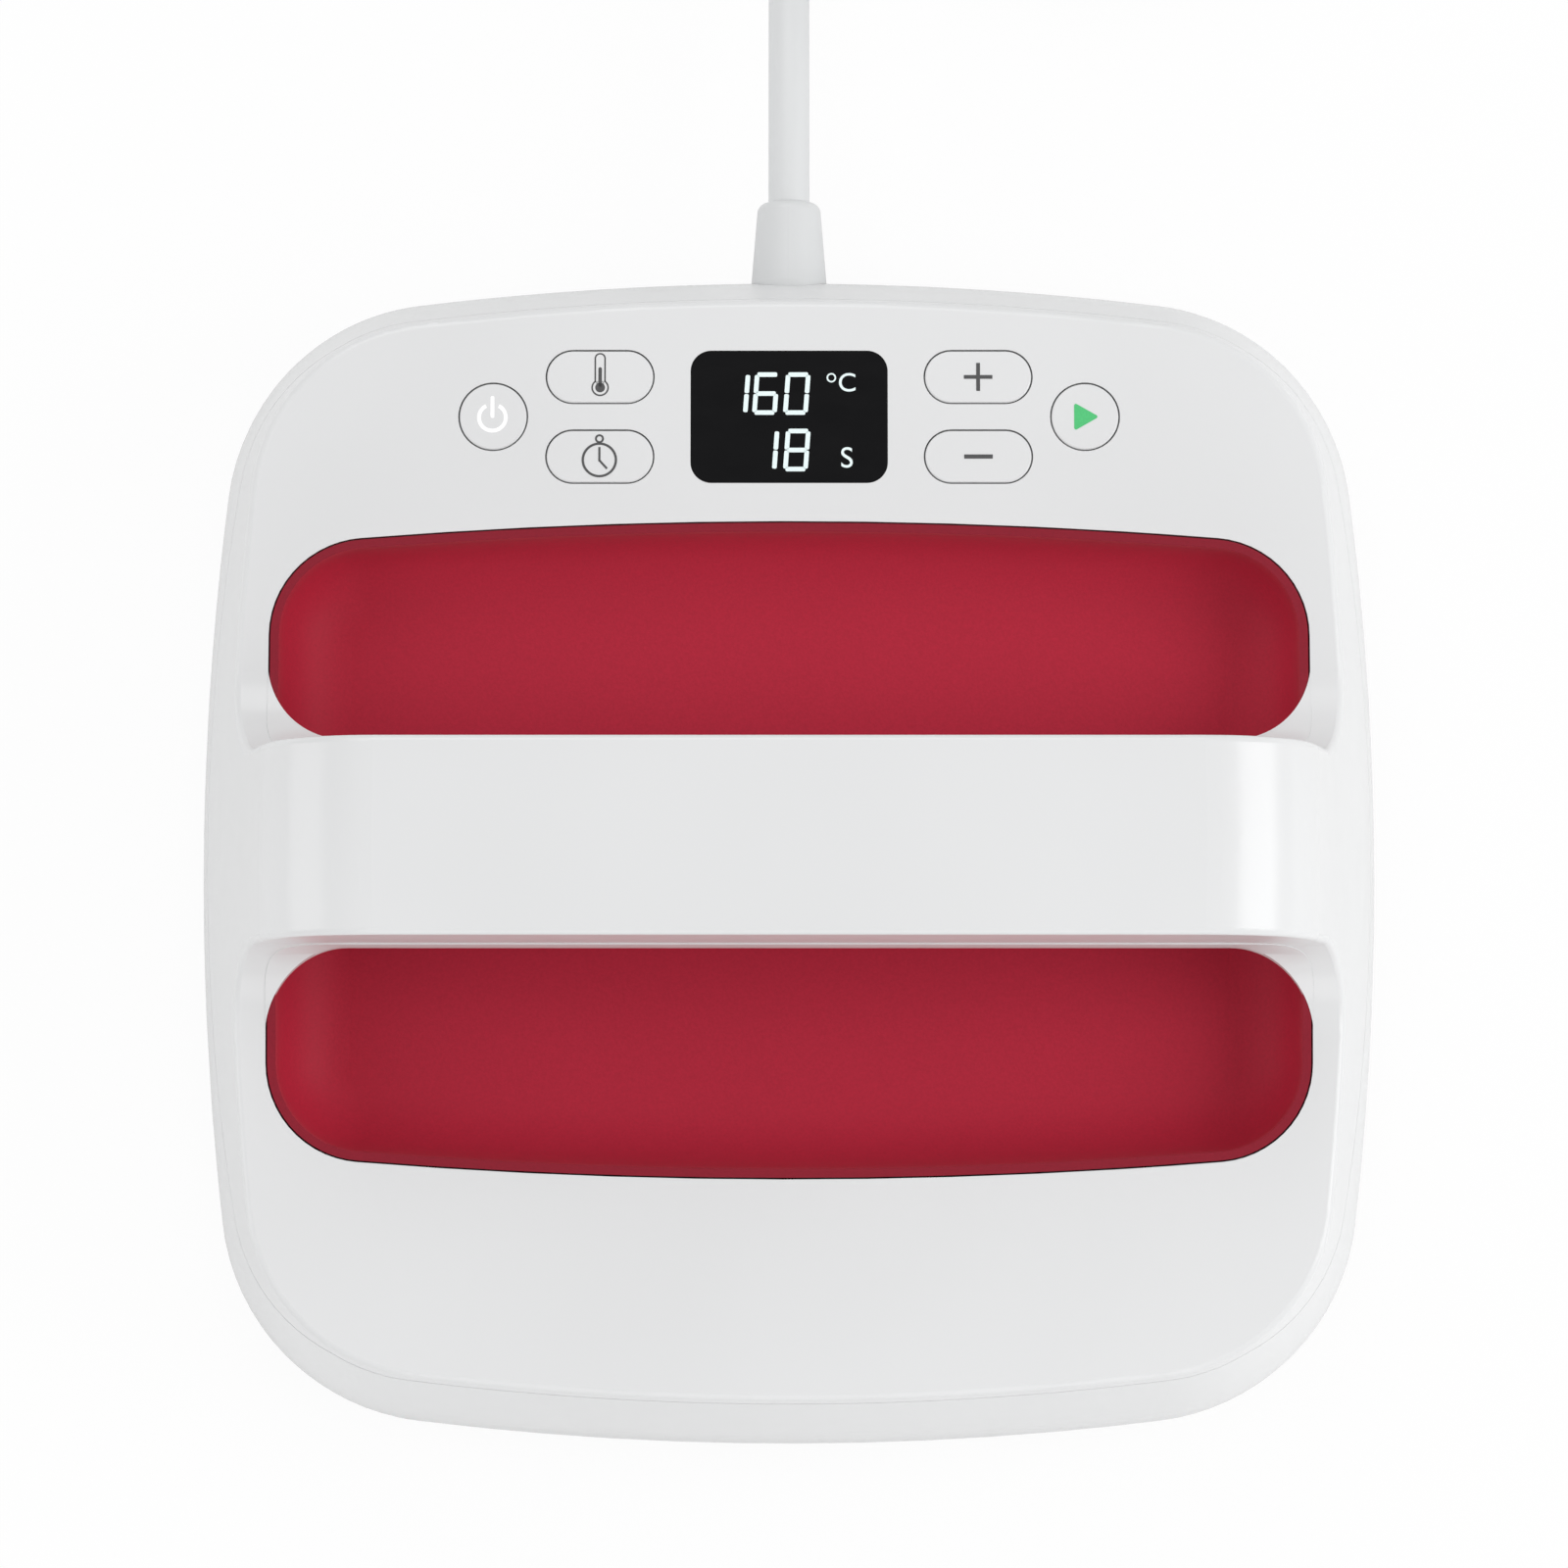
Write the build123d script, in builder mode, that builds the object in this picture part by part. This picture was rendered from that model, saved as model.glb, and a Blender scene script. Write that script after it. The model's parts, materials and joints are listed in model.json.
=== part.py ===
from build123d import *
import math
import os

# Handheld heat press: a heated plate under a white moulded housing with an arched handle.
# Millimetres. The origin is the middle of the underside, +Z up, +Y to the cord, +X to the right.

# Outline of the housing, seen from above
body_width = 280.0
body_depth = 278.0
side_bow_radius = 725.0
corner_radius = 53.0

# How the walls lean in as they rise from the fullest height
skirt_foot_height = 6.0
widest_height = 14.0
side_belly_radius = 110.0
side_lean = 16.0
end_belly_radius = 105.0
end_lean = 26.0
wall = 2.6
foot_edge_radius = 3.0

# The two decks and the handle between them
handle_top_height = 118.0
handle_rear = 20.5
handle_front = -24.5
deck_root_height = 66.0
deck_slope = 3.0
sweep_radius = 21.0
crown_radius = 28.0
crease_radius = 1.6

# The seam between skirt and shell dips at the sides and follows the decks at the ends
seam_low_height = 36.0
seam_tip_reach = 117.7
seam_drop = 3.0
seam_gap = 0.3

# The hollow for the hand
hollow_width = 242.6
hollow_rear = 76.0
hollow_front = -77.6
hollow_bow_radius = 1250.0
hollow_corner_radius = 23.0
hollow_floor = 42.0
hollow_ceiling = 88.0
bowl_radius = 18.0
vault_radius = 21.0
liner_gap = 0.4
liner_wall = 2.0
grip_split_height = 68.0
grip_split_gap = 0.2

# Heat plate and what lies on it
plate_size = 229.0
plate_corner_radius = 30.0
plate_thickness = 11.0
plate_edge_radius = 1.5
plate_opening_gap = 2.0
flange_thickness = 2.5
element_diameter = 6.5
element_pitch = 34.0
element_legs = 6
element_turn_reach = 98.0
element_rise_reach = 95.0
element_pin_diameter = 4.0
element_groove_gap = 0.3
groove_opening = 1.0
pad_thickness = 7.0
pad_margin = 4.0
pad_hole_gap = 0.4
shield_height = 19.5
shield_thickness = 0.8
shield_margin = 3.0
shield_rim_height = 5.0
shield_post_reach = 121.5
shield_post_spread = 36.0
shield_post_diameter = 7.0
shield_ear_width = 12.0
stud_spread_x = 68.0
stud_spread_y = 70.0
spacer_diameter = 8.0
plate_screw_diameter = 4.0
plate_screw_head = 7.2
plate_screw_depth = 6.0
sensor_diameter = 9.0
sensor_height = 6.0
fuse_diameter = 5.0
fuse_length = 14.0
fuse_reach = 34.0

# Small screws, the holes that they turn in and the holes that they pass
small_screw_diameter = 3.0
small_screw_head = 5.6
screw_head_height = 2.0
screw_fit = 0.05
screw_pass = 0.4
screw_tip_room = 0.5

# Bosses that hold the shell to the skirt
boss_diameter = 8.0
side_boss_reach = 127.0
corner_boss_reach = 121.5
corner_boss_spread = 72.0
boss_joint_height = 24.0
boss_joint_gap = 0.2
housing_screw_length = 24.0

# Control panel on the rear deck
panel_reach = 100.8
window_width = 46.2
window_height = 31.6
window_corner_radius = 4.9
window_gap = 0.15
flange_reach = 1.5
flange_depth = 1.2
flange_gap = 0.1
round_button_reach = 69.3
round_button_diameter = 16.4
pill_reach = 44.3
pill_row_offset = 9.5
pill_length = 25.6
pill_width = 13.0
button_gap = 0.35
button_edge_radius = 0.4
stem_diameter = 5.0

# Control board under the panel
board_depth = 12.0
board_thickness = 1.6
control_board_width = 162.0
control_board_height = 38.0
switch_size = 6.0
switch_height = 3.1
plunger_diameter = 3.4
plunger_stand = 0.9
plunger_gap = 0.25
plunger_length = 2.0
plunger_bore_depth = 2.6
board_boss_spread_x = 77.5
board_boss_spread_y = 15.5
board_boss_diameter = 6.0
lcd_width = 52.0
lcd_height = 35.0
lcd_gap = 0.3
chip_height = 1.8
buzzer_place = 44.0
buzzer_diameter = 12.0
buzzer_height = 4.0
buzzer_hole_diameter = 2.0

# Power board under the front deck
power_board_height = 30.0
power_board_middle = -99.0
power_board_width = 140.0
power_board_depth = 34.0
power_spacer_spread_x = 63.0
power_spacer_spread_y = 6.0
power_spacer_diameter = 7.0
relay_size = (28.0, 12.5, 15.5)
relay_place = -44.0
transformer_size = (26.0, 22.0, 18.0)
transformer_place = -10.0
capacitor_diameter = 10.0
capacitor_height = 18.0
capacitor_place = 16.0
capacitor_spread = 6.5
sink_size = (30.0, 24.0, 20.0)
sink_place = 44.0
sink_base = 3.0
sink_fins = 6
sink_fin_thickness = 1.5
triac_size = (10.0, 4.5, 15.0)

# Terminal block and leads
terminal_size = (34.0, 18.0, 18.0)
terminal_place = (38.0, 92.0)
terminal_pitch = 10.0
terminal_screw_diameter = 5.0
terminal_screw_depth = 6.0
lead_diameter = 2.6
lead_spread = 3.2
lead_height = 25.0
lead_turn_reach = 106.0
lead_end_inset = 2.0
heater_lead_end = 52.0
earth_lead_place = (68.0, 78.0)
ribbon_width = 12.0
ribbon_thickness = 0.8
ribbon_place = -62.0
ribbon_reach = 12.8
ribbon_height = 36.5
ribbon_bend_radius = 3.0
ribbon_gap = 0.05

# Clamp that grips the cord inside the rear wall
clamp_middle = 122.0
clamp_depth = 9.0
clamp_width = 30.0
clamp_height = 7.5
clamp_screw_spread = 10.5
clamp_screw_length = 18.0
clamp_gap = 0.1

# Cord, from the rear wall to the plug
cord_diameter = 9.8
cord_height = 33.0
relief_base_diameter = 18.0
relief_tip_diameter = 14.8
relief_end = 156.6
relief_taper_start = 137.0
relief_shoulder = 2.4
relief_gap = 0.2
relief_flange_diameter = 22.0
relief_flange_thickness = 2.0
relief_flange_reach = 131.5
tail_end = 111.0
cord_lift = 0.8
coil_radius = 67.0
coil_pitch = 10.4
coil_layer_step = 10.3
coil_start = 292.0
plug_lead_run = 20.0
plug_body_diameter = 37.0
plug_body_length = 14.0
plug_grip_diameter = 27.0
plug_grip_length = 26.0
plug_neck_diameter = 15.0
plug_neck_length = 20.0
plug_edge_radius = 1.5
plug_pin_diameter = 4.8
plug_pin_length = 19.0
plug_pin_spread = 9.5
earth_clip_width = 6.0
earth_clip_thickness = 1.2
earth_bore_diameter = 5.2
earth_bore_depth = 12.0
tie_thickness = 0.6
tie_width = 12.0
tie_gap = 0.1
tie_corner_radius = 3.0

os.makedirs("parts", exist_ok=True)


def save(part, name):
    """Give a finished piece its name and write it."""
    part.label = name
    export_step(part, f"parts/{name}.step")


def leaning_inset(height, belly_radius, lean):
    """How far a wall stands in from the fullest outline at a height: an arc, then a straight lean."""
    rise = height - widest_height
    arc_rise = belly_radius * math.sin(math.radians(lean))
    if rise < arc_rise:
        return belly_radius - math.sqrt(belly_radius**2 - rise**2)
    arc_inset = belly_radius * (1 - math.cos(math.radians(lean)))
    return arc_inset + (rise - arc_rise) * math.tan(math.radians(lean))


def body_outline(height, drawn_in):
    """The bowed square outline of the housing at a height, drawn in by a wall."""
    side_inset = leaning_inset(height, side_belly_radius, side_lean) + drawn_in
    end_inset = leaning_inset(height, end_belly_radius, end_lean) + drawn_in
    side_centre = body_width / 2 - side_inset - side_bow_radius
    end_centre = body_depth / 2 - end_inset - side_bow_radius
    with BuildSketch(Plane.XY.offset(height)) as outline:
        with Locations((side_centre, 0)):
            Circle(side_bow_radius)
        with Locations((-side_centre, 0)):
            Circle(side_bow_radius, mode=Mode.INTERSECT)
        with Locations((0, end_centre)):
            Circle(side_bow_radius, mode=Mode.INTERSECT)
        with Locations((0, -end_centre)):
            Circle(side_bow_radius, mode=Mode.INTERSECT)
        fillet(outline.vertices(), corner_radius - (side_inset + end_inset) / 2)
    return outline.sketch


def deck_height_at(reach):
    """Height of the rear deck (positive reach) or the front deck (negative) before its sweep."""
    face = handle_rear if reach > 0 else handle_front
    return deck_root_height - abs(reach - face) * math.tan(math.radians(deck_slope))


def deck_cut(side, drawn_in):
    """Profile of the space over one deck: down the handle's face, round the sweep, along the deck."""
    face = (handle_rear if side > 0 else handle_front) - side * drawn_in
    far = side * body_depth
    root = deck_root_height - drawn_in
    top = handle_top_height + crown_radius
    with BuildSketch(Plane.YZ) as profile:
        with BuildLine():
            Polyline((face, top), (face, root), (far, deck_height_at(far) - drawn_in), (far, top), close=True)
        make_face()
        corner = profile.vertices().sort_by_distance((0, face, root))[0]
        fillet(corner, sweep_radius + drawn_in)
    return profile.sketch


def body_form(drawn_in, bottom):
    """The whole outer form of the housing, or the same form drawn in by a wall."""
    top = handle_top_height - drawn_in
    levels = 6
    heights = [widest_height + (top - widest_height) * k / levels for k in range(levels + 1)]
    with BuildPart() as form:
        loft(sections=[body_outline(height, drawn_in) for height in heights])
        add(body_outline(widest_height, drawn_in))
        extrude(amount=-(widest_height - bottom))
        for side in (1, -1):
            extrude(deck_cut(side, drawn_in), amount=body_width, both=True, mode=Mode.SUBTRACT)
        top_face = form.faces().sort_by(Axis.Z)[-1]
        ends = top_face.edges().filter_by(lambda edge: abs(edge.center().X) > body_width / 4)
        fillet(ends, crown_radius - drawn_in)
    return form.part


def is_crease(edge):
    """The edges where decks, sweeps and handle faces meet the leaning walls and the crown."""
    middle = edge.center()
    if middle.Z < seam_low_height + (deck_root_height - seam_low_height) * 0.7:
        return False
    if abs(middle.X) > 1 and abs(middle.Y) < -handle_front / 2:
        return False
    across_a_face = edge.geom_type == GeomType.LINE and middle.Z < handle_top_height - 1
    return not across_a_face


def hand_hollow(clearance):
    """The space for the hand: a bowed tray with a rounded floor and rounded shoulders above."""
    rear = hollow_rear - clearance
    front = hollow_front + clearance
    floor = hollow_floor + clearance
    ceiling = hollow_ceiling - clearance
    with BuildPart() as hollow:
        with BuildSketch(Plane.XY.offset(floor)) as outline:
            with Locations((0, (rear + front) / 2)):
                Rectangle(hollow_width - 2 * clearance, rear - front)
            with Locations((0, rear - hollow_bow_radius)):
                Circle(hollow_bow_radius, mode=Mode.INTERSECT)
            with Locations((0, front + hollow_bow_radius)):
                Circle(hollow_bow_radius, mode=Mode.INTERSECT)
            fillet(outline.vertices(), hollow_corner_radius - clearance)
        extrude(amount=ceiling - floor)
        fillet(hollow.faces().sort_by(Axis.Z)[0].edges(), bowl_radius - clearance)
        fillet(hollow.faces().sort_by(Axis.Z)[-1].edges(), vault_radius - clearance)
    return hollow.part


def above_seam(offset):
    """Everything above the seam, as a solid: a long arc at the sides, a line under each deck's edge."""
    tip_rear = deck_height_at(seam_tip_reach) - seam_drop + offset
    tip_front = deck_height_at(-seam_tip_reach) - seam_drop + offset
    far = body_depth
    end_rear = deck_height_at(far) - seam_drop + offset
    end_front = deck_height_at(-far) - seam_drop + offset
    top = handle_top_height * 2
    with BuildPart() as above:
        with BuildSketch(Plane.YZ):
            with BuildLine():
                ThreePointArc(
                    (-seam_tip_reach, tip_front), (0, seam_low_height + offset), (seam_tip_reach, tip_rear)
                )
                Polyline(
                    (seam_tip_reach, tip_rear),
                    (far, end_rear),
                    (far, top),
                    (-far, top),
                    (-far, end_front),
                    (-seam_tip_reach, tip_front),
                )
            make_face()
        extrude(amount=body_width, both=True)
    return above.part


def mirrored(x, y):
    """The same place in all four quarters."""
    return [(sx * x, sy * y) for sx in (-1, 1) for sy in (-1, 1)]


# Places that several pieces share
inside_floor = skirt_foot_height + flange_thickness
boss_places = mirrored(corner_boss_reach, corner_boss_spread) + [(-side_boss_reach, 0), (side_boss_reach, 0)]
post_places = mirrored(shield_post_reach, shield_post_spread) + mirrored(shield_post_spread, shield_post_reach)
stud_places = mirrored(stud_spread_x, stud_spread_y)
stud_places += [(-stud_spread_x, 0), (stud_spread_x, 0), (0, -stud_spread_y), (0, stud_spread_y)]
shield_top = shield_height + shield_thickness
slope = math.radians(deck_slope)
panel_up = Vector(0, math.sin(slope), math.cos(slope))
panel = Plane(origin=(0, panel_reach, deck_height_at(panel_reach)), x_dir=(1, 0, 0), z_dir=panel_up)
board_top = panel.offset(-board_depth)
flange_top = wall + flange_gap
flange_bottom = flange_top + flange_depth
switch_top = board_depth - switch_height
plunger_top = switch_top - plunger_stand
board_screw_places = mirrored(board_boss_spread_x, board_boss_spread_y)
buttons = {
    "power": (-round_button_reach, 0, False),
    "temperature": (-pill_reach, pill_row_offset, True),
    "timer": (-pill_reach, -pill_row_offset, True),
    "plus": (pill_reach, pill_row_offset, True),
    "minus": (pill_reach, -pill_row_offset, True),
    "start": (round_button_reach, 0, False),
}


def button_outline(plane, button, larger):
    """Outline of one button on a plane, made larger or smaller all round."""
    x, y, is_pill = button
    with BuildSketch(plane) as outline:
        with Locations((x, y)):
            if is_pill:
                SlotOverall(pill_length + 2 * larger, pill_width + 2 * larger)
            else:
                Circle(round_button_diameter / 2 + larger)
    return outline.sketch


def window_outline(plane, larger):
    """Outline of the display window on a plane, made larger or smaller all round."""
    with BuildSketch(plane) as outline:
        RectangleRounded(window_width + 2 * larger, window_height + 2 * larger, window_corner_radius + larger)
    return outline.sketch


def round_holes(plane, places, radius, depth):
    """Cylinders that stand on a plane, to be cut or added."""
    with BuildPart() as group:
        with BuildSketch(plane):
            with Locations(places):
                Circle(radius)
        extrude(amount=depth)
    return group.part


def screws(plane, places, diameter, head, length):
    """Screws on a plane: heads above it, shanks below."""
    with BuildPart() as group:
        add(round_holes(plane, places, head / 2, screw_head_height))
        add(round_holes(plane, places, diameter / 2, -length))
    return group.part


def lead(route):
    """A round wire along its own route, with rounded corners."""
    with BuildPart() as wire:
        with BuildLine() as path:
            FilletPolyline(*route, radius=lead_diameter * 1.5)
        with BuildSketch(Plane(origin=path.line @ 0, z_dir=path.line % 0)):
            Circle(lead_diameter / 2)
        sweep(path=path.line)
    return wire.part


# The housing's walls in one piece, before the seam parts them
outer_form = body_form(0, skirt_foot_height)
inner_form = body_form(wall, inside_floor)
with BuildPart() as housing:
    add(outer_form)
    fillet(housing.edges().filter_by(is_crease), crease_radius)
    fillet(housing.faces().sort_by(Axis.Z)[0].edges(), foot_edge_radius)
    add(inner_form, mode=Mode.SUBTRACT)
    add(hand_hollow(0), mode=Mode.SUBTRACT)

# Bosses inside the shell, trimmed to its inner faces
joint_plane = Plane.XY.offset(boss_joint_height + boss_joint_gap)
with BuildPart() as shell_bosses:
    add(round_holes(joint_plane, boss_places, boss_diameter / 2, handle_top_height))
    add(round_holes(board_top, board_screw_places, board_boss_diameter / 2, board_depth))
    add(inner_form, mode=Mode.INTERSECT)

# Upper shell: decks, handle and side walls in one moulding
head_seat = skirt_foot_height + screw_head_height + screw_tip_room
shell_hole_depth = head_seat + housing_screw_length + screw_tip_room - joint_plane.origin.Z
tight_hole = small_screw_diameter / 2 + screw_fit
pass_hole = small_screw_diameter / 2 + screw_pass / 2
with BuildPart() as upper_shell:
    add(housing.part)
    add(above_seam(seam_gap), mode=Mode.INTERSECT)
    add(shell_bosses.part)
    add(round_holes(joint_plane, boss_places, tight_hole, shell_hole_depth), mode=Mode.SUBTRACT)
    add(round_holes(board_top, board_screw_places, tight_hole, board_depth - wall - 1), mode=Mode.SUBTRACT)
    add(window_outline(panel, 0))
    for button_place in buttons.values():
        add(button_outline(panel, button_place, 0))
    extrude(amount=2 * wall, both=True, mode=Mode.SUBTRACT)
save(upper_shell.part, "upper_shell")

# Base skirt: the lower ring, its flange, posts and bosses, and the seat of the cord clamp
seat_height = cord_height - clamp_gap
plate_opening = plate_size + 2 * plate_opening_gap
foot_plane = Plane.XY.offset(skirt_foot_height)
floor_plane = Plane.XY.offset(inside_floor)
rear_plane = Plane(origin=(0, body_depth, cord_height), x_dir=(1, 0, 0), z_dir=(0, -1, 0))
clamp_screw_places = [(-clamp_screw_spread, clamp_middle), (clamp_screw_spread, clamp_middle)]
with BuildPart() as base_skirt:
    add(housing.part)
    add(above_seam(0), mode=Mode.SUBTRACT)
    with BuildSketch(foot_plane):
        RectangleRounded(plate_opening, plate_opening, plate_corner_radius + plate_opening_gap)
    extrude(amount=flange_thickness, mode=Mode.SUBTRACT)
    add(round_holes(floor_plane, boss_places, boss_diameter / 2, boss_joint_height - inside_floor))
    add(round_holes(floor_plane, post_places, shield_post_diameter / 2, shield_height - inside_floor))
    with BuildSketch(floor_plane):
        with Locations((0, clamp_middle)):
            Rectangle(clamp_width, clamp_depth)
    extrude(amount=seat_height - inside_floor)
    relief_hole = relief_base_diameter / 2 + relief_gap
    add(round_holes(rear_plane, [(0, 0)], relief_hole, body_depth - relief_flange_reach), mode=Mode.SUBTRACT)
    trough = cord_diameter / 2 + clamp_gap
    add(round_holes(rear_plane, [(0, 0)], trough, body_depth - tail_end), mode=Mode.SUBTRACT)
    add(round_holes(foot_plane, boss_places, pass_hole, boss_joint_height), mode=Mode.SUBTRACT)
    head_hole = (small_screw_head + screw_pass) / 2
    add(round_holes(foot_plane, boss_places, head_hole, head_seat - skirt_foot_height), mode=Mode.SUBTRACT)
    add(
        round_holes(floor_plane, post_places, tight_hole, shield_height - inside_floor), mode=Mode.SUBTRACT
    )
    seat_plane = Plane.XY.offset(seat_height)
    add(round_holes(seat_plane, clamp_screw_places, tight_hole, -clamp_screw_length), mode=Mode.SUBTRACT)
save(base_skirt.part, "base_skirt")

# Lining of the hand hollow: a tray below and a grip under the handle
with BuildPart() as lining:
    add(outer_form)
    add(hand_hollow(liner_gap), mode=Mode.INTERSECT)
    add(hand_hollow(liner_gap + liner_wall), mode=Mode.SUBTRACT)
with BuildPart() as hollow_tray:
    add(lining.part)
    split(bisect_by=Plane.XY.offset(grip_split_height), keep=Keep.BOTTOM)
save(hollow_tray.part, "hollow_tray")
with BuildPart() as handle_grip:
    add(lining.part)
    split(bisect_by=Plane.XY.offset(grip_split_height + grip_split_gap), keep=Keep.TOP)
save(handle_grip.part, "handle_grip")

# Serpentine route of the heating element, with both ends at the rear
leg_places = [element_pitch * (k - (element_legs - 1) / 2) for k in range(element_legs)]
element_height = plate_thickness - element_diameter / 2 - element_groove_gap
element_route = []
for k, x in enumerate(leg_places):
    far = -element_turn_reach if k % 2 == 0 else element_turn_reach
    element_route.append((x, -far, element_height))
    element_route.append((x, far, element_height))
element_route[0] = (leg_places[0], element_rise_reach, element_height)
element_route[-1] = (leg_places[-1], element_rise_reach, element_height)
pin_reach = element_rise_reach - element_diameter / 2
pin_places = [(leg_places[0], pin_reach), (leg_places[-1], pin_reach)]
pin_top = shield_top + 0.6


def along_element(is_groove):
    """The serpentine tube, or the square groove that takes it and opens at the plate's top."""
    with BuildPart() as swept:
        with BuildLine() as path:
            FilletPolyline(*element_route, radius=element_pitch / 2 - 0.2)
        with BuildSketch(Plane(origin=path.line @ 0, x_dir=(1, 0, 0), z_dir=path.line % 0)):
            if is_groove:
                groove_width = element_diameter + 2 * element_groove_gap
                with Locations((0, groove_opening / 2)):
                    Rectangle(groove_width, groove_width + groove_opening)
            else:
                Circle(element_diameter / 2)
        sweep(path=path.line)
    return swept.part


# Heat plate, with the groove that takes the element and blind holes for its screws
plate_plane = Plane.XY.offset(plate_thickness)
with BuildPart() as heat_plate:
    with BuildSketch():
        RectangleRounded(plate_size, plate_size, plate_corner_radius)
    extrude(amount=plate_thickness)
    fillet(heat_plate.faces().sort_by(Axis.Z)[0].edges(), plate_edge_radius)
    add(along_element(True), mode=Mode.SUBTRACT)
    plate_hole = plate_screw_diameter / 2 + screw_fit
    add(
        round_holes(plate_plane, stud_places, plate_hole, -plate_screw_depth - screw_tip_room),
        mode=Mode.SUBTRACT,
    )
save(heat_plate.part, "heat_plate")

# Heating element: a bent tube with a terminal pin at each end
with BuildPart() as heating_element:
    add(along_element(False))
    pin_plane = Plane.XY.offset(element_height)
    add(round_holes(pin_plane, pin_places, element_pin_diameter / 2, pin_top - element_height))
save(heating_element.part, "heating_element")

# Insulation pad over the element
with BuildPart() as insulation_pad:
    pad_size = plate_size - 2 * pad_margin
    with BuildSketch(plate_plane):
        RectangleRounded(pad_size, pad_size, plate_corner_radius - pad_margin)
        with Locations(stud_places):
            Circle(spacer_diameter / 2 + pad_hole_gap, mode=Mode.SUBTRACT)
        with Locations(pin_places):
            Circle(element_pin_diameter / 2 + pad_hole_gap, mode=Mode.SUBTRACT)
        Circle(sensor_diameter / 2 + pad_hole_gap, mode=Mode.SUBTRACT)
        with Locations((fuse_reach, 0)):
            Rectangle(fuse_diameter + 2 * pad_hole_gap, fuse_length + 2 * pad_hole_gap, mode=Mode.SUBTRACT)
    extrude(amount=pad_thickness)
save(insulation_pad.part, "insulation_pad")

# Steel shield that carries the plate: a tray with eight ears and a folded rim between them
shield_size = plate_size - 2 * shield_margin
shield_corner = plate_corner_radius - shield_margin
with BuildPart() as heat_shield:
    with BuildSketch(Plane.XY.offset(shield_height)):
        RectangleRounded(shield_size, shield_size, shield_corner)
        ear_length = shield_post_reach - shield_size / 2 + shield_ear_width
        ear_place = shield_post_reach - ear_length / 2 + shield_ear_width / 2
        with Locations(mirrored(ear_place, shield_post_spread)):
            SlotOverall(ear_length, shield_ear_width)
        with Locations(mirrored(shield_post_spread, ear_place)):
            SlotOverall(ear_length, shield_ear_width, rotation=90)
        with Locations(post_places):
            Circle(pass_hole, mode=Mode.SUBTRACT)
        with Locations(stud_places):
            Circle(plate_screw_diameter / 2 + screw_pass / 2, mode=Mode.SUBTRACT)
        with Locations(pin_places + [(0, 0), (fuse_reach, 0)]):
            Circle(element_pin_diameter, mode=Mode.SUBTRACT)
    extrude(amount=shield_thickness)
    with BuildSketch(Plane.XY.offset(shield_height)):
        RectangleRounded(shield_size, shield_size, shield_corner)
        rim_size = shield_size - 2 * shield_thickness
        RectangleRounded(rim_size, rim_size, shield_corner - shield_thickness, mode=Mode.SUBTRACT)
        with Locations(post_places):
            Rectangle(2 * shield_ear_width, 2 * shield_ear_width, mode=Mode.SUBTRACT)
    extrude(amount=shield_rim_height)
save(heat_shield.part, "heat_shield")

# Ceramic spacers between plate and shield, and the screws of plate and shield
shield_plane = Plane.XY.offset(shield_top)
with BuildPart() as plate_spacers:
    with BuildSketch(plate_plane):
        with Locations(stud_places):
            Circle(spacer_diameter / 2)
        with Locations(stud_places):
            Circle(plate_hole, mode=Mode.SUBTRACT)
    extrude(amount=shield_height - plate_thickness)
save(plate_spacers.part, "plate_spacers")
plate_screw_length = shield_top - plate_thickness + plate_screw_depth
save(
    screws(shield_plane, stud_places, plate_screw_diameter, plate_screw_head, plate_screw_length),
    "plate_screws",
)
shield_screw_length = shield_top - inside_floor - screw_tip_room
save(
    screws(shield_plane, post_places, small_screw_diameter, small_screw_head, shield_screw_length),
    "shield_screws",
)

# Temperature sensor and thermal fuse, on the plate
sensor_top = plate_thickness + sensor_height
with BuildPart() as temperature_sensor:
    with BuildSketch(plate_plane):
        Circle(sensor_diameter / 2)
    extrude(amount=sensor_height)
save(temperature_sensor.part, "temperature_sensor")
fuse_top = plate_thickness + fuse_diameter
with BuildPart() as thermal_fuse:
    with BuildSketch(Plane.XZ):
        with Locations((fuse_reach, plate_thickness + fuse_diameter / 2)):
            Circle(fuse_diameter / 2)
    extrude(amount=fuse_length / 2, both=True)
save(thermal_fuse.part, "thermal_fuse")

# Screws that hold the shell down on the skirt, their heads up in the foot
up_from_below = Plane(origin=(0, 0, head_seat), x_dir=(1, 0, 0), z_dir=(0, 0, -1))
save(
    screws(up_from_below, boss_places, small_screw_diameter, small_screw_head, housing_screw_length),
    "housing_screws",
)

# Display window and the liquid crystal module under it
with BuildPart() as display_window:
    add(window_outline(panel, -window_gap))
    extrude(amount=-flange_bottom)
    add(window_outline(panel.offset(-flange_top), flange_reach))
    extrude(amount=-flange_depth)
save(display_window.part, "display_window")
with BuildPart() as display_module:
    with BuildSketch(panel.offset(-flange_bottom - lcd_gap)):
        RectangleRounded(lcd_width, lcd_height, 1.5)
    extrude(amount=-(board_depth - flange_bottom - lcd_gap))
save(display_module.part, "display_module")

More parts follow.
